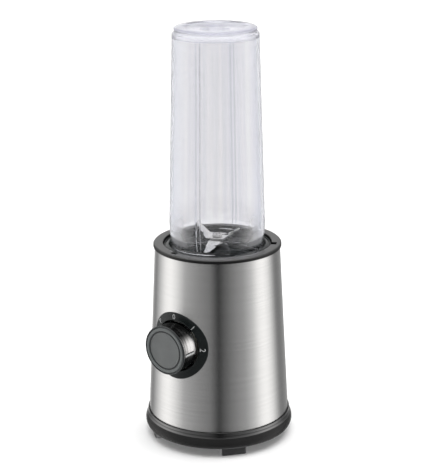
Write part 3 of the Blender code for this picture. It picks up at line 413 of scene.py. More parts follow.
def clear_cup_material():
    """Clear copolyester with a faint violet tint, drawn streaks up the wall and a slight haze above the neck. The
    dark rib edges are painted shade, and the bluer edge-on wall is a painted reflection.
    """
    n = new_material("cup_clear_plastic")
    at = n.axes()
    turned_away = n.node("ShaderNodeLayerWeight").outputs["Facing"]
    clear = n.math("SUBTRACT", n.fade("Z", 190, 215, CUP_NECK_CLEARNESS, CUP_WALL_CLEARNESS),
                   n.fade("Z", 330, 334, 0.0, CUP_WALL_CLEARNESS - CUP_END_CLEARNESS))
    above_mouth = n.math("MULTIPLY", n.fade("Z", 165, 168), n.fade("Z", 174, 194, 1.0, 0.0))
    edge_haze = n.math("MULTIPLY", n.span(turned_away, 0.0, CUP_NECK_EDGE_HAZE, 0.15, 0.42), above_mouth)

    streaks = n.noise(n.turned_coordinates(14.0, 3.0), 3.0)
    wall = n.shade(streaks, (0.700, 0.703, 0.738), (0.792, 0.786, 0.790))
    # painted shade: the rib's two edges are darkened in the wall's colour, more on the far side of the cup than the
    # near
    rib = radians(RIBS[0])
    across = n.math("ADD", n.math("MULTIPLY", at["X"], cos(rib)), n.math("MULTIPLY", at["Y"], sin(rib)))
    off_edge = n.math("ABSOLUTE", n.math("SUBTRACT", n.math("ABSOLUTE", across), 1.55 * MM))
    painted_rib_edge_shade = n.math("MULTIPLY", n.span(off_edge, 1.0, 0.0, 0.2 * MM, 0.60 * MM), n.fade("Y", -1.0, 1.0, 0.5, 1.0))
    colour = n.mix(painted_rib_edge_shade, wall, (0.48, 0.49, 0.56))
    # painted reflection: the wall's colour turns bluer where it is seen edge-on
    colour = n.mix(n.span(turned_away, 0.0, 0.8, 0.35, 0.80), colour, (0.68, 0.71, 0.79))
    colour = n.mix(n.fade("Z", 162, 182), (0.80, 0.805, 0.825), colour)
    colour = n.mix(n.fade("Z", 330, 334), colour, (0.78, 0.783, 0.815))
    colour = n.mix(n.fade("Z", 336.3, 336.9), colour, (0.63, 0.635, 0.72))
    n.set(Base_Color=colour, Roughness=n.span(n.noise(n.stretched(220.0, 220.0, 4.0)), 0.008, 0.016),
          Transmission_Weight=n.math("SUBTRACT", clear, edge_haze), IOR=1.56)
    return n.owner


def rubber_material(name, dark, light, roughness):
    n = new_material(name)
    grain = n.noise(n.stretched(1800.0), 4.0, 0.65)
    n.set(Base_Color=n.shade(grain, dark, light), Roughness=n.span(grain, roughness - 0.08, roughness + 0.08),
          Specular_IOR_Level=0.9)
    n.bump(grain, 0.3, 0.06)
    return n.owner


def foot_material():
    """Rubber with painted highlights: its colour is paler on a foot's two rounded ends, which face round the base
    rather than out of it.
    """
    n = new_material("foot_rubber")
    grain = n.noise(n.stretched(1800.0), 4.0, 0.65)
    at = n.axes()
    facing = n.axes(n.node("ShaderNodeNewGeometry").outputs["Normal"])
    sideways = n.math("SUBTRACT", n.math("MULTIPLY", at["X"], facing["Y"]), n.math("MULTIPLY", at["Y"], facing["X"]))
    # painted highlight: the rounded ends are paler where they would catch the side light
    ends = n.span(n.math("ABSOLUTE", sideways), 0.0, 1.0, 22 * MM, 38 * MM)
    rubber = n.shade(grain, (0.030, 0.032, 0.033), (0.050, 0.052, 0.053))
    n.set(Base_Color=n.mix(ends, rubber, (0.36, 0.365, 0.37)), Roughness=n.span(grain, 0.40, 0.56))
    n.bump(grain, 0.3, 0.06)
    return n.owner


def ink_material():
    n = new_material("dial_ink")
    speckle = n.noise(n.stretched(2200.0), 3.0)
    n.set(Base_Color=n.shade(speckle, (0.40, 0.41, 0.41), (0.50, 0.51, 0.51)), Roughness=n.span(speckle, 0.40, 0.55))
    return n.owner


def laminated_material():
    """Stamped steel sheets stacked up the motor, seen as fine level lines."""
    n = new_material("motor_laminations")
    sheet = n.math("FRACT", n.math("MULTIPLY", n.axes()["Z"], 1.0 / (0.65 * MM)))
    stain = n.noise(n.stretched(240.0), 3.0)
    n.set(Metallic=1.0, Base_Color=n.shade(stain, (0.26, 0.26, 0.28), (0.42, 0.42, 0.43)),
          Roughness=n.span(stain, 0.35, 0.55))
    n.bump(sheet, 0.4, 0.1)
    return n.owner


def winding_material():
    """Enamelled copper wire laid in turns."""
    n = new_material("copper_winding")
    at = n.axes(n.stretched(1.0 / (0.5 * MM), 1.0 / (0.5 * MM), 1.0 / (0.9 * MM)))
    turns = n.math("SINE", n.math("MULTIPLY", n.math("ADD", at["X"], at["Z"]), pi))
    tone = n.noise(n.stretched(300.0))
    n.set(Metallic=0.9, Base_Color=n.shade(tone, (0.50, 0.20, 0.08), (0.78, 0.38, 0.18)),
          Roughness=n.span(tone, 0.22, 0.38))
    n.bump(turns, 0.6, 0.2)
    return n.owner


SLEEVE_STEEL = brushed_sleeve_material()
BLACK = moulded_plastic("black_textured_plastic", (0.010, 0.012, 0.012), (0.015, 0.017, 0.017), 0.42)
BLACK_SATIN = moulded_plastic(
    "black_satin_plastic", (0.006, 0.008, 0.008), (0.010, 0.012, 0.012), 0.19, 3000.0, 0.06)
HOLDER_BLACK = moulded_plastic(
    "holder_black_plastic", (0.006, 0.008, 0.008), (0.010, 0.012, 0.012), 0.14, 1500.0, 0.05, 0.4)
DIAL_BLACK = moulded_plastic(
    "dial_black_plastic", (0.005, 0.008, 0.008), (0.009, 0.012, 0.012), 0.28, 3200.0, 0.25, 0.3)
KNOB_CHROME = knob_chrome_material()
KNOB_RIM = moulded_plastic("knob_rim_paint", (0.014, 0.017, 0.018), (0.020, 0.023, 0.024), 0.30, 3000.0, 0.08)
KNOB_RING = knob_face_material("knob_ring_paint", (0.115, 0.125, 0.125), (0.135, 0.145, 0.145))
KNOB_DISC = knob_face_material("knob_disc_paint", (0.125, 0.132, 0.132), (0.145, 0.152, 0.152), 0.42)
BLADE_STEEL = ground_steel_material("blade_ground_steel", (260.0, 5200.0, 260.0), 0.86, 0.30)
FASTENER_STEEL = ground_steel_material("fastener_steel", (900.0,), 0.60, 0.30)
SHAFT_STEEL = ground_steel_material("shaft_steel", (700.0, 700.0, 5200.0), 0.55, 0.25)
CUP_CLEAR = clear_cup_material()
FOOT_RUBBER = foot_material()
BUSH_RUBBER = rubber_material("bush_rubber", (0.030, 0.032, 0.033), (0.050, 0.052, 0.053), 0.55)
SEAL_GREY = rubber_material("seal_silicone", (0.030, 0.031, 0.032), (0.045, 0.046, 0.048), 0.45)
DIAL_INK = ink_material()
NYLON = moulded_plastic("natural_nylon", (0.50, 0.49, 0.45), (0.58, 0.57, 0.52), 0.45, 900.0)
GRAPHITE = moulded_plastic("brush_graphite", (0.035, 0.035, 0.037), (0.055, 0.055, 0.057), 0.60, 1800.0, 0.5)
LAMINATIONS = laminated_material()
WINDING = winding_material()
# the lighter grey from 163.9 mm up is a painted sheen on the collar's top; below it the collar keeps its own
# near-black
BLACK_COLLAR = banded_plastic("collar_black_plastic", (
    (160.0, 0.006, 0.25, 0.0), (163.4, 0.008, 0.30, 0.0), (163.9, 0.030, 0.80, 0.0), (165.0, 0.030, 0.80, 0.0)),
    0.34, 2200.0, 0.45)
# the lighter metallic bands are painted light: from 7.0 to 8.1 mm a painted reflection of the floor on the bottom
# edge, from 16.5 to 21.0 mm painted highlights on the shoulder's crest, its slope and the lip
FOOT_RING_BLACK = banded_plastic("foot_ring_plastic", (
    (7.0, 0.12, 0.5, 0.5), (8.1, 0.10, 0.4, 0.4), (8.5, 0.018, 0.14, 0.0), (16.5, 0.018, 0.14, 0.0),
    (16.9, 0.22, 0.5, 1.0), (17.6, 0.21, 0.5, 1.0), (17.9, 0.17, 0.5, 1.0), (18.5, 0.12, 0.3, 1.0),
    (18.7, 0.12, 0.3, 1.0), (19.0, 0.22, 0.5, 1.0), (20.7, 0.21, 0.5, 1.0), (21.0, 0.02, 0.3, 0.2),
    (22.0, 0.02, 0.3, 0.2)), 0.16, 1800.0, 0.12)
BRACKET_STEEL = ground_steel_material("bracket_zinc_steel", (160.0,), 0.48, 0.42)
COMMUTATOR = ground_steel_material("commutator_copper", (900.0, 900.0, 60.0), 0.60, 0.30)


# -------- the steel sleeve, collar and foot of the base

SLEEVE_BOTTOM, SLEEVE_TOP = heights("steel_shell")
SLEEVE_WIDE = high("steel_shell").x
SLEEVE_NARROW = radius_near("steel_shell", SLEEVE_TOP)
SLEEVE_TAPER = (SLEEVE_WIDE - SLEEVE_NARROW) / (SLEEVE_TOP - SLEEVE_BOTTOM)
KNOB_FRONT = -low("knob_body").y
DIAL_RADIUS = high("dial_bezel").x
DIAL_LIFT = 0.5
DIAL_BORE = 20.9


def sleeve_radius(height):
    return SLEEVE_WIDE - SLEEVE_TAPER * (height - SLEEVE_BOTTOM)


def cone_normals(obj):
    """Give the sleeve's outer wall the exact normals of its cone, so that no facet or cut edge shows."""
    mesh = obj.data
    normals = [Vector(corner.vector) for corner in mesh.corner_normals]
    for polygon in mesh.polygons:
        centre = polygon.center / MM
        is_outer = hypot(centre.x, centre.y) > sleeve_radius(centre.z) - 0.3
        outward = Vector((centre.x, centre.y, 0.0)).normalized()
        if not is_outer or polygon.normal.dot(outward) < 0.9:
            continue
        for corner in polygon.loop_indices:
            point = mesh.vertices[mesh.loops[corner].vertex_index].co
            normal = Vector((point.x, point.y, 0.0)).normalized()
            normal.z = SLEEVE_TAPER
            normals[corner] = normal.normalized()
    mesh.normals_split_custom_set(normals)


def make_sleeve():
    wall = 0.6
    outline = rounded([
        (sleeve_radius(SLEEVE_TOP), SLEEVE_TOP, 0.15), (SLEEVE_WIDE, SLEEVE_BOTTOM, 0.15),
        (SLEEVE_WIDE - wall, SLEEVE_BOTTOM, 0.15), (SLEEVE_NARROW - wall, SLEEVE_TOP, 0.15)], 2)
    sleeve = turned("sleeve", outline, SMOOTH)
    dial_hole = place(cylinder("dial_hole", DIAL_RADIUS + 0.25, 30, 90), (0.0, 0.0, KNOB_Z), rotation_x=90)
    gland_hole = place(cylinder("gland_hole", 5.7, 30, 90), (0.0, 0.0, GLAND_Z), rotation_x=-90)
    combine(sleeve, [dial_hole, gland_hole])
    cone_normals(sleeve)
    attach(sleeve, "base", SLEEVE_STEEL, "brushed_steel", "steel_shell")


def make_collar():
    """The moulded ring on the sleeve's top edge, with three notches for the bayonet lugs."""
    bottom, top = heights("top_collar")
    outer = high("top_collar").x
    bore = 44.0
    outline = rounded([
        (bore, top, 0.5), (outer - 0.9, top, 0.4), (outer, top - 0.9, 0.7), (outer, bottom, 0.3),
        (bore, bottom, 0.3)], 4)
    collar = turned("collar", outline, SMOOTH)
    cutters = []
    for azimuth in NOTCHES:
        cutter = block("notch", (6.0, 9.0, 8.0), 0.7)
        cutters.append(place(cutter, around(43.8, azimuth, top), azimuth))
    combine(collar, cutters)
    attach(collar, "base", BLACK_COLLAR, "black_plastic", "top_collar")


def make_flange():
    """The base's moulded foot ring: a thin lip round the sleeve, a sloped shoulder and a convex skirt."""
    bottom = low("base_ring").z
    top = 21.3
    outer = high("base_ring").x
    outline = rounded([
        (58.4, top, 0.15), (58.8, top - 0.3, 0.2), (58.95, 19.0, 0.3), (58.45, 18.4, 0.2), (59.7, 16.5, 0.5),
        (60.75, 13.9, 1.5), (outer + 0.15, 11.7, 2.6), (60.7, 9.6, 1.2), (59.9, bottom, 0.4), (57.3, bottom, 0.2),
        (57.3, 10.0), (53.0, 10.0), (53.0, 26.0), (56.3, 26.0), (56.7, 17.6), (58.2, 17.6), (58.2, top)], 5)
    outline = [(min(radius, outer), height) for radius, height in outline]
    ring = turned("foot_ring", outline, SMOOTH, sharp_degrees=50)
    attach(ring, "base", FOOT_RING_BLACK, "black_plastic", "base_ring")


def make_cover():
    """The bottom cover, with its ring of cooling slots and four screw recesses."""
    bottom, top = heights("bottom_cover")
    outer = high("bottom_cover").x
    outline = rounded([
        (0.0, top), (outer, top), (outer, bottom, 0.8), (38.0, bottom), (37.6, bottom + 0.5), (36.6, bottom + 0.5),
        (36.2, bottom), (0.0, bottom)], 3)
    cover = turned("underside_cover", outline, 128)
    cutters = []
    for azimuth in range(15, 360, 30):
        slot = block("slot", (3.2, 18.0, 8.0), 1.2)
        cutters.append(place(slot, around(22.0, azimuth, 8.0), azimuth))
    for index in range(1, 5):
        centre = middle(f"cover_screw_{index}")
        cutters.append(place(cylinder("bore", 1.7, 5, 12, 24), (centre.x, centre.y, 0.0)))
        cutters.append(place(cylinder("sink", 3.6, 3, 8.4, 32), (centre.x, centre.y, 0.0)))
    combine(cover, cutters)
    attach(cover, "base", BLACK, "black_plastic", "bottom_cover")


def make_screw(index):
    """A pan-head screw with a cross recess."""
    node = f"cover_screw_{index}"
    centre = middle(node)
    bottom = low(node).z
    profile = [(0.0, 24.0), (1.0, 23.0)]
    pitch = 0.9
    for turn in range(14):
        height = 22.6 - turn * pitch
        profile += [(1.3, height), (1.05, height - pitch / 2)]
    profile += [(1.3, 8.1), (3.1, 8.1), (3.1, bottom + 0.7),
                (2.6, bottom + 0.2), (1.6, bottom), (0.0, bottom)]
    screw = turned(f"case_screw_{index}", profile, 32)
    arms = [place(block("arm", (0.7, 3.2, 1.8), 0.1, 1), (0.0, 0.0, bottom), turn) for turn in (0.0, 90.0)]
    combine(screw, arms)
    place(screw, (centre.x, centre.y, 0.0), 23.0 * index)
    bake(screw)
    attach(screw, "base", FASTENER_STEEL, "dark_steel", node)


def make_foot(index):
    """A rubber foot with rounded ends and a ribbed sole."""
    node = f"foot_{index}"
    azimuth = 51.0 + 90.0 * (index - 1)
    height = high(node).z
    depth = 8.5
    body = block("pad", (22.0, depth, height))
    bm = bmesh.new()
    bm.from_mesh(body.data)
    upright = [edge for edge in bm.edges if abs(edge.verts[0].co.z - edge.verts[1].co.z) > 1 * MM]
    bmesh.ops.bevel(bm, geom=upright, offset=2.9 * MM, segments=8, profile=0.5, affect="EDGES")
    rims = [edge for edge in bm.edges if edge.calc_face_angle(0.0) > radians(60)]
    bmesh.ops.bevel(bm, geom=rims, offset=0.6 * MM, segments=3, profile=0.5, affect="EDGES")
    bm.to_mesh(body.data)
    bm.free()
    grooves = [place(block("groove", (16.0, 0.8, 0.8), 0.2, 1), (0.0, step * 1.9, -height / 2))
               for step in (-1, 0, 1)]
    combine(body, grooves)
    body.name = f"rubber_foot_{index}"
    place(body, around(56.0 - depth / 2, azimuth, height / 2), azimuth)
    bake(body)
    finish_mesh(body.data, 30)
    attach(body, "base", FOOT_RUBBER, "rubber", node)


# -------- the dial and its knob

def on_dial(across, up, lift=0.0):
    """A point in metres on the dial's curved front: across and up from the knob's axis, lifted from the face."""
    height = KNOB_Z + up
    reach = sleeve_radius(height) + DIAL_LIFT + lift
    return Vector((across, -sqrt(reach ** 2 - across ** 2), height)) * MM


def make_dial():
    """The ring round the knob. Its front follows the sleeve, with rolled edges."""
    back = high("dial_bezel").y
    outer = DIAL_RADIUS
    front = [(DIAL_BORE, -0.5), (DIAL_BORE + 0.06, 0.05), (DIAL_BORE + 0.16, 0.20), (DIAL_BORE + 0.28, 0.20),
             (DIAL_BORE + 0.40, 0.05), (DIAL_BORE + 0.50, 0.0), (DIAL_BORE + 1.6, 0.0), (DIAL_BORE + 2.6, 0.0),
             (outer - 1.5, 0.0), (outer - 0.6, 0.0), (outer - 0.28, -0.06), (outer - 0.10, -0.22), (outer, -0.5)]
    turns = [(sin(2 * pi * step / FINE), cos(2 * pi * step / FINE)) for step in range(FINE)]
    bm = bmesh.new()
    rings = [[bm.verts.new(on_dial(radius * across, radius * up, lift)) for across, up in turns]
             for radius, lift in front]
    rings += [[bm.verts.new(Vector((radius * across, back, KNOB_Z + radius * up)) * MM) for across, up in turns]
              for radius in (outer, DIAL_BORE)]
    skin(bm, rings)
    attach(object_from_bmesh("dial_ring", bm), "base", DIAL_BLACK, "black_plastic", "dial_bezel")


def make_dial_mark(name, character, clock_degrees, size, radius):
    """A printed mark, read with its foot towards the knob, laid on the dial's curved front."""
    curve = bpy.data.curves.new(name, "FONT")
    curve.body = character
    curve.extrude = 0.02
    text = link(name, curve)
    bm = bmesh.new()
    bm.from_mesh(bpy.data.meshes.new_from_object(text))
    bpy.data.objects.remove(text, do_unlink=True)
    xs = [v.co.x for v in bm.verts]
    ys = [v.co.y for v in bm.verts]
    centre = Vector(((min(xs) + max(xs)) / 2, (min(ys) + max(ys)) / 2, 0.0))
    scale = size / (max(ys) - min(ys))
    for v in bm.verts:
        offset = (v.co - centre) * scale
        v.co = Vector((offset.x, offset.y, copysign(0.06, v.co.z)))
    for axis in (Vector((1.0, 0.0, 0.0)), Vector((0.0, 1.0, 0.0))):
        for step in range(-5, 6):
            bmesh.ops.bisect_plane(bm, geom=bm.verts[:] + bm.edges[:] + bm.faces[:], dist=0.0001,
                                   plane_co=axis * (step * 0.55), plane_no=axis)
    turn = radians(clock_degrees)
    for v in bm.verts:
        across = v.co.x * cos(turn) + (v.co.y + radius) * sin(turn)
        up = -v.co.x * sin(turn) + (v.co.y + radius) * cos(turn)
        v.co = on_dial(across, up, v.co.z)
    attach(object_from_bmesh(name, bm), "base", DIAL_INK, "white_ink")


def knob_piece(name, points, segments=5):
    """Turn an outline of (radius, place in front of the knob's face, fillet) about the knob's axis."""
    outline = [(radius, KNOB_FRONT + ahead) for radius, ahead in rounded(points, segments)]
    return bake(place(turned(name, outline), (0.0, 0.0, KNOB_Z), rotation_x=90))


def make_knob():
    """A plated skirt with a dark rim, a satin face ring, a sunk disc and the pointer's slot."""
    back = -high("knob_body").y - KNOB_FRONT
    shelf = 60.0 - KNOB_FRONT
    pointer_y = middle("knob_pointer").y
    skirt = knob_piece("knob_skirt", [
        (19.0, -1.3), (20.1, -1.15, 0.15), (19.7, -3.2, 1.5), (19.4, -6.5, 2.0), (19.45, -10.0, 2.0),
        (19.85, back, 0.4), (18.0, back), (18.0, shelf), (7.0, shelf), (7.0, shelf - 6.5), (3.3, shelf - 6.5),
        (3.3, -3.2), (19.0, -3.2)])
    slot_cutter = block("pointer_slot", (3.8, 11.2, 2.6), 0.25)
    place(slot_cutter, (20.8, pointer_y, KNOB_Z - 0.6))
    combine(skirt, [slot_cutter])
    attach(skirt, "knob", KNOB_CHROME, "knob_chrome", "knob_body")
    # painted shade: a thin dark sheet in the slot's floor covers the bright plating where the slot lies in shade
    painted_slot_shade = bake(place(block("pointer_slot_painted_shade", (0.3, 11.0, 2.5)), (18.95, pointer_y, KNOB_Z - 0.6)))
    attach(painted_slot_shade, "knob", KNOB_RIM, "knob_grey", "knob_body")
    rim = knob_piece("knob_rim", [
        (18.75, -0.5), (18.9, -0.1, 0.1), (19.4, 0.0, 0.3), (20.1, -0.6, 0.5), (20.1, -1.05, 0.1), (19.05, -1.25),
        (18.75, -3.0)])
    attach(rim, "knob", KNOB_RIM, "knob_grey", "knob_body")
    ring = knob_piece("knob_face_ring", [
        (16.05, -0.55, 0.2), (16.4, -0.1, 0.3), (18.2, -0.1, 0.4), (18.65, -0.5, 0.2), (18.65, -3.0), (16.05, -3.0)])
    attach(ring, "knob", KNOB_RING, "knob_grey", "knob_cap")
    groove = knob_piece("knob_groove_ring", [(14.95, -1.0), (16.0, -1.0), (16.0, -3.0), (14.95, -3.0)])
    attach(groove, "knob", KNOB_RIM, "knob_grey", "knob_cap")
    disc = knob_piece("knob_disc", [
        (0.0, -0.66), (14.0, -0.62, 0.3), (14.25, -0.45, 0.15), (14.7, -0.5, 0.25), (14.9, -0.95, 0.2), (14.9, -2.9),
        (0.0, -2.9)], 4)
    attach(disc, "knob", KNOB_DISC, "knob_grey", "knob_cap")
    pointer = block("knob_pointer_bar", (0.95, 10.5, 1.25), 0.15)
    bake(place(pointer, (19.7, pointer_y, KNOB_Z - 0.95)))
    attach(pointer, "knob", DIAL_INK, "white_ink", "knob_pointer")


def make_gland():
    """The strain-relief bush for the supply cord, with flexing grooves."""
    end = high("cord_gland").y
    inner = low("cord_gland").y
    outline = [(3.6, end), (4.3, end), (4.9, end - 0.8)]
    for step in range(3):
        start = end - 1.6 - step * 2.2
        outline += [(5.0, start), (4.3, start - 0.3), (4.3, start - 1.0), (5.1, start - 1.3)]
    outline += [(5.5, end - 8.4), (5.5, inner), (3.6, inner)]
    gland = bake(place(turned("cord_bush", outline, 48), (0.0, 0.0, GLAND_Z), rotation_x=-90))
    attach(gland, "base", BUSH_RUBBER, "rubber", "cord_gland")


# -------- the docking well and what turns in it

THREAD_LEAD = 8.0
THREAD_STARTS = 2


def ridge(angle, height, start, end, width, flank):
    """How far the thread's flat-topped ridge stands up at a place, 0 to 1, fading out at both ends."""
    along = ((height - THREAD_LEAD * angle / (2 * pi)) * THREAD_STARTS / THREAD_LEAD) % 1.0
    rise = min(1.0, max(0.0, 1.0 - (abs(along - 0.5) - width / 2) / flank))
    return rise * min(1.0, max(0.0, min(height - start, end - height) / 0.8))


def make_well():
    """The well the blade unit drops into, with the four screw posts below it."""
    floor = 137.0
    inner = 47.6
    bottom, top = heights("docking_well")
    outer = high("docking_well").x
    well = turned("well", rounded([
        (inner, top), (outer, top, 0.3), (outer, floor - 3.0, 0.8), (12.5, floor - 3.0, 0.4),
        (12.5, floor + 1.6, 0.4), (14.5, floor + 1.6, 0.4), (14.5, floor, 0.4), (inner, floor, 0.8)], 3), 128)
    posts = []
    bores = []
    for index in range(1, 5):
        centre = middle(f"cover_screw_{index}")
        centre.z = 0.0
        post = cylinder("post", 3.8, bottom, floor - 2.0, 32)
        posts.append(place(post, centre - centre.normalized()))
        bores.append(place(cylinder("bore", 1.6, 5, 30, 24), centre))
    centre = middle("interlock_plunger")
    bores.append(place(cylinder("bore", 2.1, 130, 139, 32), (centre.x, centre.y, 0.0)))
    combine(well, posts, "UNION")
    combine(well, bores)
    attach(well, "base", BLACK_SATIN, "black_plastic", "docking_well")


def make_coupler(name, body, node, top, bottom, bore, dogs_low, dogs_high, first):
    """One half of the drive coupling: a hub with six dogs on its face."""
    hub = turned(name, rounded([
        (bore, top, 0.2), (9.0, top, 0.3), (10.4, top - 1.2, 0.4), (10.4, bottom, 0.4), (bore, bottom, 0.2)], 3), 64)
    dogs = []
    for azimuth in range(first, first + 360, 60):
        dog = block("dog", (1.2, 3.4, dogs_high - dogs_low), 0.25, 2)
        dogs.append(place(dog, around(7.9, azimuth, (dogs_low + dogs_high) / 2), azimuth))
    combine(hub, dogs, "UNION")
    attach(hub, body, NYLON, "nylon", node)


def make_couplers():
    drive_top = 146.2
    driven_bottom = 149.8
    make_coupler("motor_coupling", "rotor", "drive_coupler", drive_top, low("drive_coupler").z, 3.3,
                 drive_top - 1.2, high("drive_coupler").z, 0)
    make_coupler("blade_coupling", "blade_spindle", "driven_coupler", high("driven_coupler").z, driven_bottom,
                 2.9, low("driven_coupler").z, driven_bottom + 1.2, 15)


def make_holder():
    """The threaded ring of the blade unit, with its floor, hub, skirt and three lugs."""
    bottom, top = heights("blade_holder")
    floor = 151.0
    bore = 38.7
    thread_low = floor + 2.6
    thread_high = top - 1.6
    ridge_rings = 22
    lower_side = rounded([
        (43.2, top, 0.7), (43.2, top - 2.8, 0.5), (41.0, top - 3.8, 0.4), (41.0, bottom, 0.3), (38.8, bottom, 0.3),
        (38.6, floor - 2.4, 0.8), (14.0, floor - 2.4, 0.8), (11.6, floor + 2.8, 0.3), (4.9, floor + 2.8),
        (4.9, 163.0), (5.6, 163.0, 0.3), (8.0, 161.6, 1.0), (11.6, floor + 6.0, 2.0), (14.4, floor, 1.6),
        (33.0, floor, 0.2), (33.2, floor + 0.25, 0.1), (38.7, floor + 0.25, 0.1), (bore, thread_low)], 5)
    thread = [(bore, thread_low + (thread_high - thread_low) * step / ridge_rings)
              for step in range(1, ridge_rings + 1)]
    mouth = rounded([(bore, top - 1.2), (bore + 0.1, top - 0.9), (bore + 0.9, top, 0.3),
                     (43.2, top)], 3)[:-1]
    outline = lower_side + thread + mouth
    first_thread = len(lower_side)

    def relief(angle, radius, height, index):
        if not first_thread <= index < first_thread + ridge_rings:
            return radius
        return radius - 0.7 * ridge(angle, height, thread_low, thread_high, 0.22, 0.12)

    holder = turned("blade_unit_ring", outline, FINE, relief)
    lugs = []
    for notch in NOTCHES:
        azimuth = notch - 30.0
        lug = block("lug", (6.0, 3.6, 5.0), 0.5)
        lugs.append(place(lug, around(41.85, azimuth, 146.1), azimuth))
    combine(holder, lugs, "UNION")
    attach(holder, "blade_unit", HOLDER_BLACK, "black_plastic", "blade_holder")


def make_bush():
    bottom, top = heights("spindle_bush")
    bush = turned("spindle_bearing_bush", rounded([
        (2.9, top, 0.2), (4.0, top, 0.5), (4.6, top - 1.0, 0.3), (4.6, bottom), (2.9, bottom)], 4), SMALL)
    attach(bush, "blade_unit", SHAFT_STEEL, "blade_steel", "spindle_bush")


# -------- the blades

def fold(distance, start, radius):
    """Distance past a fold line, eased over the bend."""
    past = distance - start
    return (sqrt(past ** 2 + radius ** 2) + past) / 2


BLADE_HALF = 0.65  # half of a blade's thickness


def make_blade(name, node, level, rise, reach, sweep_degrees, turn_degrees, root_width, tip_width):
    """A bar folded at two lines, the long tapered edge of each arm ground to a cutting edge."""
    plate = 7.0
    half = BLADE_HALF
    soft = 0.14
    bend = 1.3
    sweep = radians(sweep_degrees)
    tip_x = reach * cos(sweep)
    tip_y = -reach * sin(sweep)
    slope = rise / (tip_x - plate)
    stations = 30
    bm = bmesh.new()
    rings = []
    for station in range(stations + 1):
        x = station / stations * tip_x
        past = max(0.0, (x - plate) / (tip_x - plate))
        ramp = min(1.0, max(0.0, (x - 0.7 * plate) / (0.5 * plate)))
        blunt = -root_width / 2 + (tip_y - tip_width / 2 + root_width / 2) * past
        keen = root_width / 2 + (tip_y + tip_width / 2 - root_width / 2) * past
        ground = soft + (min(2.6, 0.7 * (keen - blunt)) - soft) * ramp
        keen_top = (half - soft) * (1.0 - ramp) + (0.2 - half) * ramp
        height = slope * (fold(x, plate, bend) - fold(0.0, plate, bend))
        lean = slope * 0.5 * ((x - plate) / hypot(x - plate, bend) + 1.0)
        lean_at_middle = slope * 0.5 * (-plate / hypot(plate, bend) + 1.0)
        normal = Vector((lean_at_middle - lean, 0.0, 1.0)).normalized()
        section = [
            (blunt, soft - half), (blunt, half - soft), (blunt + soft, half), (keen - ground, half), (keen, keen_top),
            (keen, min(keen_top - 0.02, soft - half)), (keen - soft, -half), (blunt + soft, -half)]
        rings.append([bm.verts.new((Vector((x, across, height)) + normal * off) * MM) for across, off in section])
    for index in range(stations):
        first, second = rings[index], rings[index + 1]
        for corner in range(8):
            after = (corner + 1) % 8
            bm.faces.new((first[corner], second[corner], second[after], first[after]))
    bm.faces.new(rings[-1])
    arm = bm.verts[:] + bm.edges[:] + bm.faces[:]
    copied = bmesh.ops.duplicate(bm, geom=arm)["geom"]
    second_arm = [item for item in copied if isinstance(item, bmesh.types.BMVert)]
    bmesh.ops.rotate(bm, verts=second_arm, cent=(0.0, 0.0, 0.0), matrix=Matrix.Rotation(pi, 3, "Z"))
    bmesh.ops.remove_doubles(bm, verts=bm.verts, dist=0.001 * MM)
    blade = object_from_bmesh(name, bm, 24)
    bake(place(blade, (0.0, 0.0, level), turn_degrees))
    attach(blade, "blade_spindle", BLADE_STEEL, "blade_steel", node)


def make_blades():
    upper = low("upper_blade").z + BLADE_HALF
    lower = high("lower_blade").z - BLADE_HALF
    make_blade("raised_blade", "upper_blade", upper, 11.2, 21.5, 16.0, 19.0, 12.0, 2.4)
    make_blade("dropped_blade", "lower_blade", lower, -6.6, 19.5, 12.0, 109.0, 10.0, 2.0)
    bottom, top = heights("blade_shaft")
    shaft = turned("blade_spindle_shaft", rounded([
        (0.0, top), (2.3, top - 0.1, 0.3), (2.6, top - 0.6, 0.2), (2.6, bottom), (0.0, bottom)], 3), SMALL)
    attach(shaft, "blade_spindle", SHAFT_STEEL, "blade_steel", "blade_shaft")
    bottom, top = heights("blade_spacer")
    spacer = turned("blade_washer", rounded([
        (2.9, top, 0.1), (3.9, top, 0.25), (3.9, bottom, 0.25), (2.9, bottom, 0.1)], 3), SMALL)
    attach(spacer, "blade_spindle", SHAFT_STEEL, "blade_steel", "blade_spacer")
    bottom, top = heights("blade_nut")
    nut = turned("blade_cap_nut", [
        (0.0, top), (3.0, top), (3.5, top - 0.12), (4.2, top - 0.45), (4.2, bottom), (0.0, bottom)],
        6, sharp_degrees=20)
    attach(nut, "blade_spindle", SHAFT_STEEL, "blade_steel", "blade_nut")


# -------- the cup

RIB_RISE = 0.55
CUP_STEPS = 540


def off_rib(angle):
    """Angle between a place round the cup and the nearer of its two ribs."""
    return min(abs((angle - radians(rib - 90.0) + pi) % (2 * pi) - pi) for rib in RIBS)


def cup_angles():
    """Even steps round the cup, with closer ones over the two ribs."""
    angles = [2 * pi * step / CUP_STEPS for step in range(CUP_STEPS)]
    angles = [angle for angle in angles if off_rib(angle) > radians(4.4)]
    for rib in RIBS:
        angles += [radians(rib - 90.0 + offset) % (2 * pi)
                   for offset in (-3.6, -3.1, -2.8, -2.5, -2.2, -1.2, 0.0, 1.2, 2.2, 2.5, 2.8, 3.1, 3.6)]
    return sorted(angles)


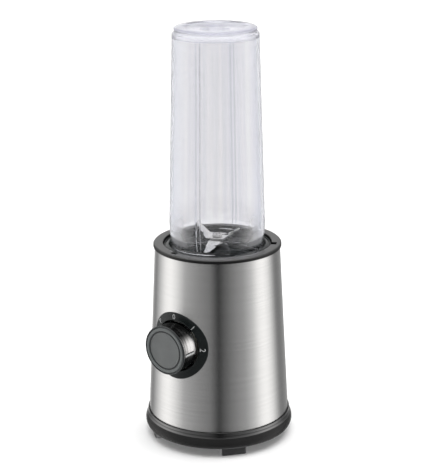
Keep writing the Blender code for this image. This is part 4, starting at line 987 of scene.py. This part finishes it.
def make_cup():
    """The inverted clear cup: threaded neck, slight belly, taper, shoulder groove, rim and sunk end."""
    bottom, top = heights("cup")
    thread_low = bottom + 1.6
    thread_high = 165.0
    thread_rings = 24
    wall_rings = 8
    start = [(34.6, bottom + 0.3), (34.9, bottom), (36.6, bottom), (37.0, bottom + 0.4)]
    thread = [(37.0, thread_low + (thread_high - thread_low) * step / thread_rings)
              for step in range(thread_rings + 1)]
    outside = rounded([
        (37.0, 165.4), (37.1, 166.6, 0.8), (38.3, 172.0, 5.0), (38.62, 182.0, 7.0), (34.53, 324.0, 4.0),
        (34.25, 333.5, 0.9), (32.45, 335.4, 0.5), (32.4, 336.2, 0.3), (32.75, 336.9, 0.25), (32.75, 337.7, 0.4),
        (31.2, 338.5, 1.2), (28.3, top, 1.2), (26.0, top, 1.0), (22.6, 337.8, 1.6), (5.3, 337.75), (5.0, 337.6),
        (0.0, 337.6)], 5)[1:]
    inside = rounded([
        (0.0, 333.6), (28.2, 333.6, 3.0), (31.65, 330.6, 2.4), (32.1, 322.0, 1.0), (36.2, 183.0, 8.0),
        (35.8, 172.0, 5.0), (34.6, 166.0, 1.0), (34.6, bottom + 1.5)], 5)[:-1]
    filled = []
    for first, second in zip(inside, inside[1:]):
        filled.append(first)
        if second[0] > 30 and first[1] - second[1] > 20:
            for step in range(1, wall_rings):
                filled.append(tuple(Vector(first).lerp(Vector(second), step / wall_rings)))
    filled += [inside[-1], (34.6, bottom + 1.2), (34.6, bottom + 0.9)]
    outline = start + thread + outside + filled
    first_inner = len(start) + len(thread) + len(outside)

    def relief(angle, radius, height, index):
        if len(start) <= index < len(start) + thread_rings:
            return radius + 0.6 * ridge(angle, height, thread_low, thread_high, 0.20, 0.14)
        if index < first_inner or radius < 30:
            return radius
        side = min(1.0, max(0.0, (radians(3.0) - off_rib(angle)) / radians(0.9)))
        ends = max(0.0, min(1.0, (height - bottom - 0.9) / 0.3, (329.5 - height) / 2.0))
        return radius - RIB_RISE * side * side * (3.0 - 2.0 * side) * ends

    cup = turned("clear_cup", outline, relief=relief, angles=cup_angles(), sharp_degrees=50)
    cup.visible_shadow = False
    attach(cup, "cup_body", CUP_CLEAR, "clear_plastic", "cup")


def make_seal():
    bottom, top = heights("cup_seal")
    seal = turned("neck_seal", rounded([
        (33.8, top, 0.4), (35.2, top, 0.2), (35.6, top - 0.35, 0.2), (36.4, top - 0.35, 0.2), (36.8, top, 0.2),
        (38.1, top, 0.4), (38.1, bottom, 0.3), (33.8, bottom, 0.3)], 3), FINE)
    attach(seal, "seal", SEAL_GREY, "seal_rubber", "cup_seal")


# -------- CAD pieces kept as they are, with better materials

KEPT = (
    (LAMINATIONS, "stator_core armature_core"),
    (WINDING, "field_coil_left field_coil_right armature_winding_upper armature_winding_lower"),
    (COMMUTATOR, "commutator"),
    (SHAFT_STEEL, "upper_bearing lower_bearing motor_shaft switch_shaft plunger_spring"),
    (BRACKET_STEEL, "motor_top_bracket motor_bottom_bracket switch_bracket"),
    (BUSH_RUBBER, "motor_mount_1 motor_mount_2 motor_mount_3 motor_mount_4"),
    (NYLON, "brush_holder_left brush_holder_right cooling_fan rotary_switch interlock_plunger"),
    (GRAPHITE, "carbon_brush_left carbon_brush_right"),
    (BLACK_SATIN, "microswitch lock_ring"))


def finish_kept_nodes():
    for material, nodes in KEPT:
        for node in nodes.split():
            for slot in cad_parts[node].material_slots:
                slot.material = material


# -------- floor, backdrop, sky and camera

def make_floor():
    bm = bmesh.new()
    bmesh.ops.create_grid(bm, x_segments=2, y_segments=2, size=6.0)
    floor = object_from_bmesh("floor", bm)
    n = new_material("floor_white")
    n.set(Base_Color=n.shade(n.noise(n.stretched(30.0)), (0.70, 0.70, 0.70), (0.72, 0.72, 0.72)), Roughness=0.9,
          Emission_Strength=0.12, Emission_Color=(1.0, 1.0, 1.0, 1.0), Specular_IOR_Level=0.0)
    floor.data.materials.append(n.owner)
    floor.visible_glossy = False


def make_backdrop():
    """A plain white wall round the floor, seen only directly and through the cup."""
    bm = bmesh.new()
    bmesh.ops.create_cone(bm, cap_ends=True, segments=96, radius1=5.9, radius2=5.9, depth=9.0)
    bmesh.ops.translate(bm, vec=(0.0, 0.0, 4.4), verts=bm.verts)
    under = [face for face in bm.faces if face.normal.z < -0.9 or face.calc_center_median().z < 0.0]
    bmesh.ops.delete(bm, geom=under, context="FACES_ONLY")
    backdrop = object_from_bmesh("backdrop", bm)
    n = new_material("backdrop_white")
    n.tree.nodes.remove(n.shader)
    glow = n.node("ShaderNodeEmission", {"Color": (1.0, 1.0, 1.0, 1.0), "Strength": 1.35})
    n.feed(n.tree.nodes["Material Output"].inputs["Surface"], glow.outputs[0])
    backdrop.data.materials.append(n.owner)
    backdrop.visible_glossy = False
    backdrop.visible_diffuse = False
    backdrop.visible_shadow = False


# Softboxes and flags round the object: degrees to the right of the camera, and brightness
STUDIO = (
    (-180, 0.85), (-168, 0.80), (-152, 0.30), (-142, 0.24), (-126, 0.60), (-106, 1.14), (-92, 1.24), (-78, 0.94),
    (-60, 0.46), (-34, 0.28), (-14, 0.175), (-6, 0.075), (1, 0.002), (8, 0.062), (24, 0.19), (46, 0.36), (62, 0.64),
    (76, 1.12), (88, 1.26), (101, 1.04), (112, 0.58), (122, 0.26), (132, 0.22), (150, 0.30), (168, 0.50), (180, 0.80))


def make_sky():
    """The softboxes round the horizon, under a bright ceiling and over a dimmer floor."""
    n = Nodes(bpy.data.worlds.new("studio"))
    bpy.context.scene.world = n.owner
    turn = n.node("ShaderNodeVectorRotate", {
        "Vector": n.node("ShaderNodeTexCoord").outputs["Generated"],
        "Angle": radians(90.0 - CAMERA_AZIMUTH)}, rotation_type="Z_AXIS")
    at = n.axes(turn.outputs[0])
    along = n.math("MULTIPLY_ADD", n.math("ARCTAN2", at["Y"], at["X"]), 1.0 / (2 * pi))
    along.node.inputs[2].default_value = 0.5
    stops = []
    for degrees, level in STUDIO:
        warm = 1.0 - 0.025 * max(0.0, level - 0.4)
        stops.append((degrees / 360.0 + 0.5, (level, level * (1.0 + warm) / 2, level * warm)))
    light = n.mix(n.span(at["Z"], 0.0, 1.0, 0.66, 0.88), n.ramp(along, stops), (1.5, 1.5, 1.5))
    light = n.mix(n.span(at["Z"], 0.0, 1.0, -0.60, -0.85), light, (0.8, 0.8, 0.82))
    n.set(Color=light, Strength=1.0)


def make_overhead_light(strength, spread_degrees, right_degrees, back_degrees):
    """Broad soft light from above, leaning a little to the camera's right and behind the object."""
    light = bpy.data.lights.new("overhead_light", "SUN")
    light.energy = strength
    light.angle = radians(spread_degrees)
    lamp = link("overhead_light", light)
    lamp.location = (0.0, 0.0, 2.0)
    towards = (Vector((0.0, 0.0, 1.0)) + around(tan(radians(right_degrees)), CAMERA_AZIMUTH + 90.0)
               + around(tan(radians(back_degrees)), CAMERA_AZIMUTH + 180.0))
    lamp.rotation_mode = "QUATERNION"
    lamp.rotation_quaternion = towards.to_track_quat("Z", "Y")
    lamp.visible_glossy = False


def make_camera():
    camera = link("camera", bpy.data.cameras.new("camera"))
    camera.data.lens = CAMERA_LENS
    camera.data.sensor_width = 36.0
    camera.data.clip_start = 0.05
    camera.data.clip_end = 50.0
    camera.matrix_world = (
        Matrix.Translation(around(CAMERA_DISTANCE, CAMERA_AZIMUTH, CAMERA_HEIGHT) * MM)
        @ rotation(CAMERA_AZIMUTH + CAMERA_YAW) @ rotation(90.0 - CAMERA_PITCH, "X") @ rotation(CAMERA_ROLL))
    bpy.context.scene.camera = camera


make_sleeve()
make_collar()
make_flange()
make_cover()
for number in range(1, 5):
    make_screw(number)
    make_foot(number)
make_dial()
make_dial_mark("dial_mark_p", "P", -49.0, 3.6, 24.4)
make_dial_mark("dial_mark_0", "0", -5.0, 4.2, 23.8)
make_dial_mark("dial_mark_1", "1", 41.5, 4.0, 23.5)
make_dial_mark("dial_mark_2", "2", 90.2, 4.3, 23.7)
make_knob()
make_gland()
make_well()
make_couplers()
make_holder()
make_bush()
make_blades()
make_seal()
make_cup()
finish_kept_nodes()

make_floor()
make_backdrop()
make_sky()
make_overhead_light(strength=2.6, spread_degrees=62.0, right_degrees=3.5, back_degrees=1.5)
make_camera()
bpy.context.scene.view_settings.view_transform = "Standard"
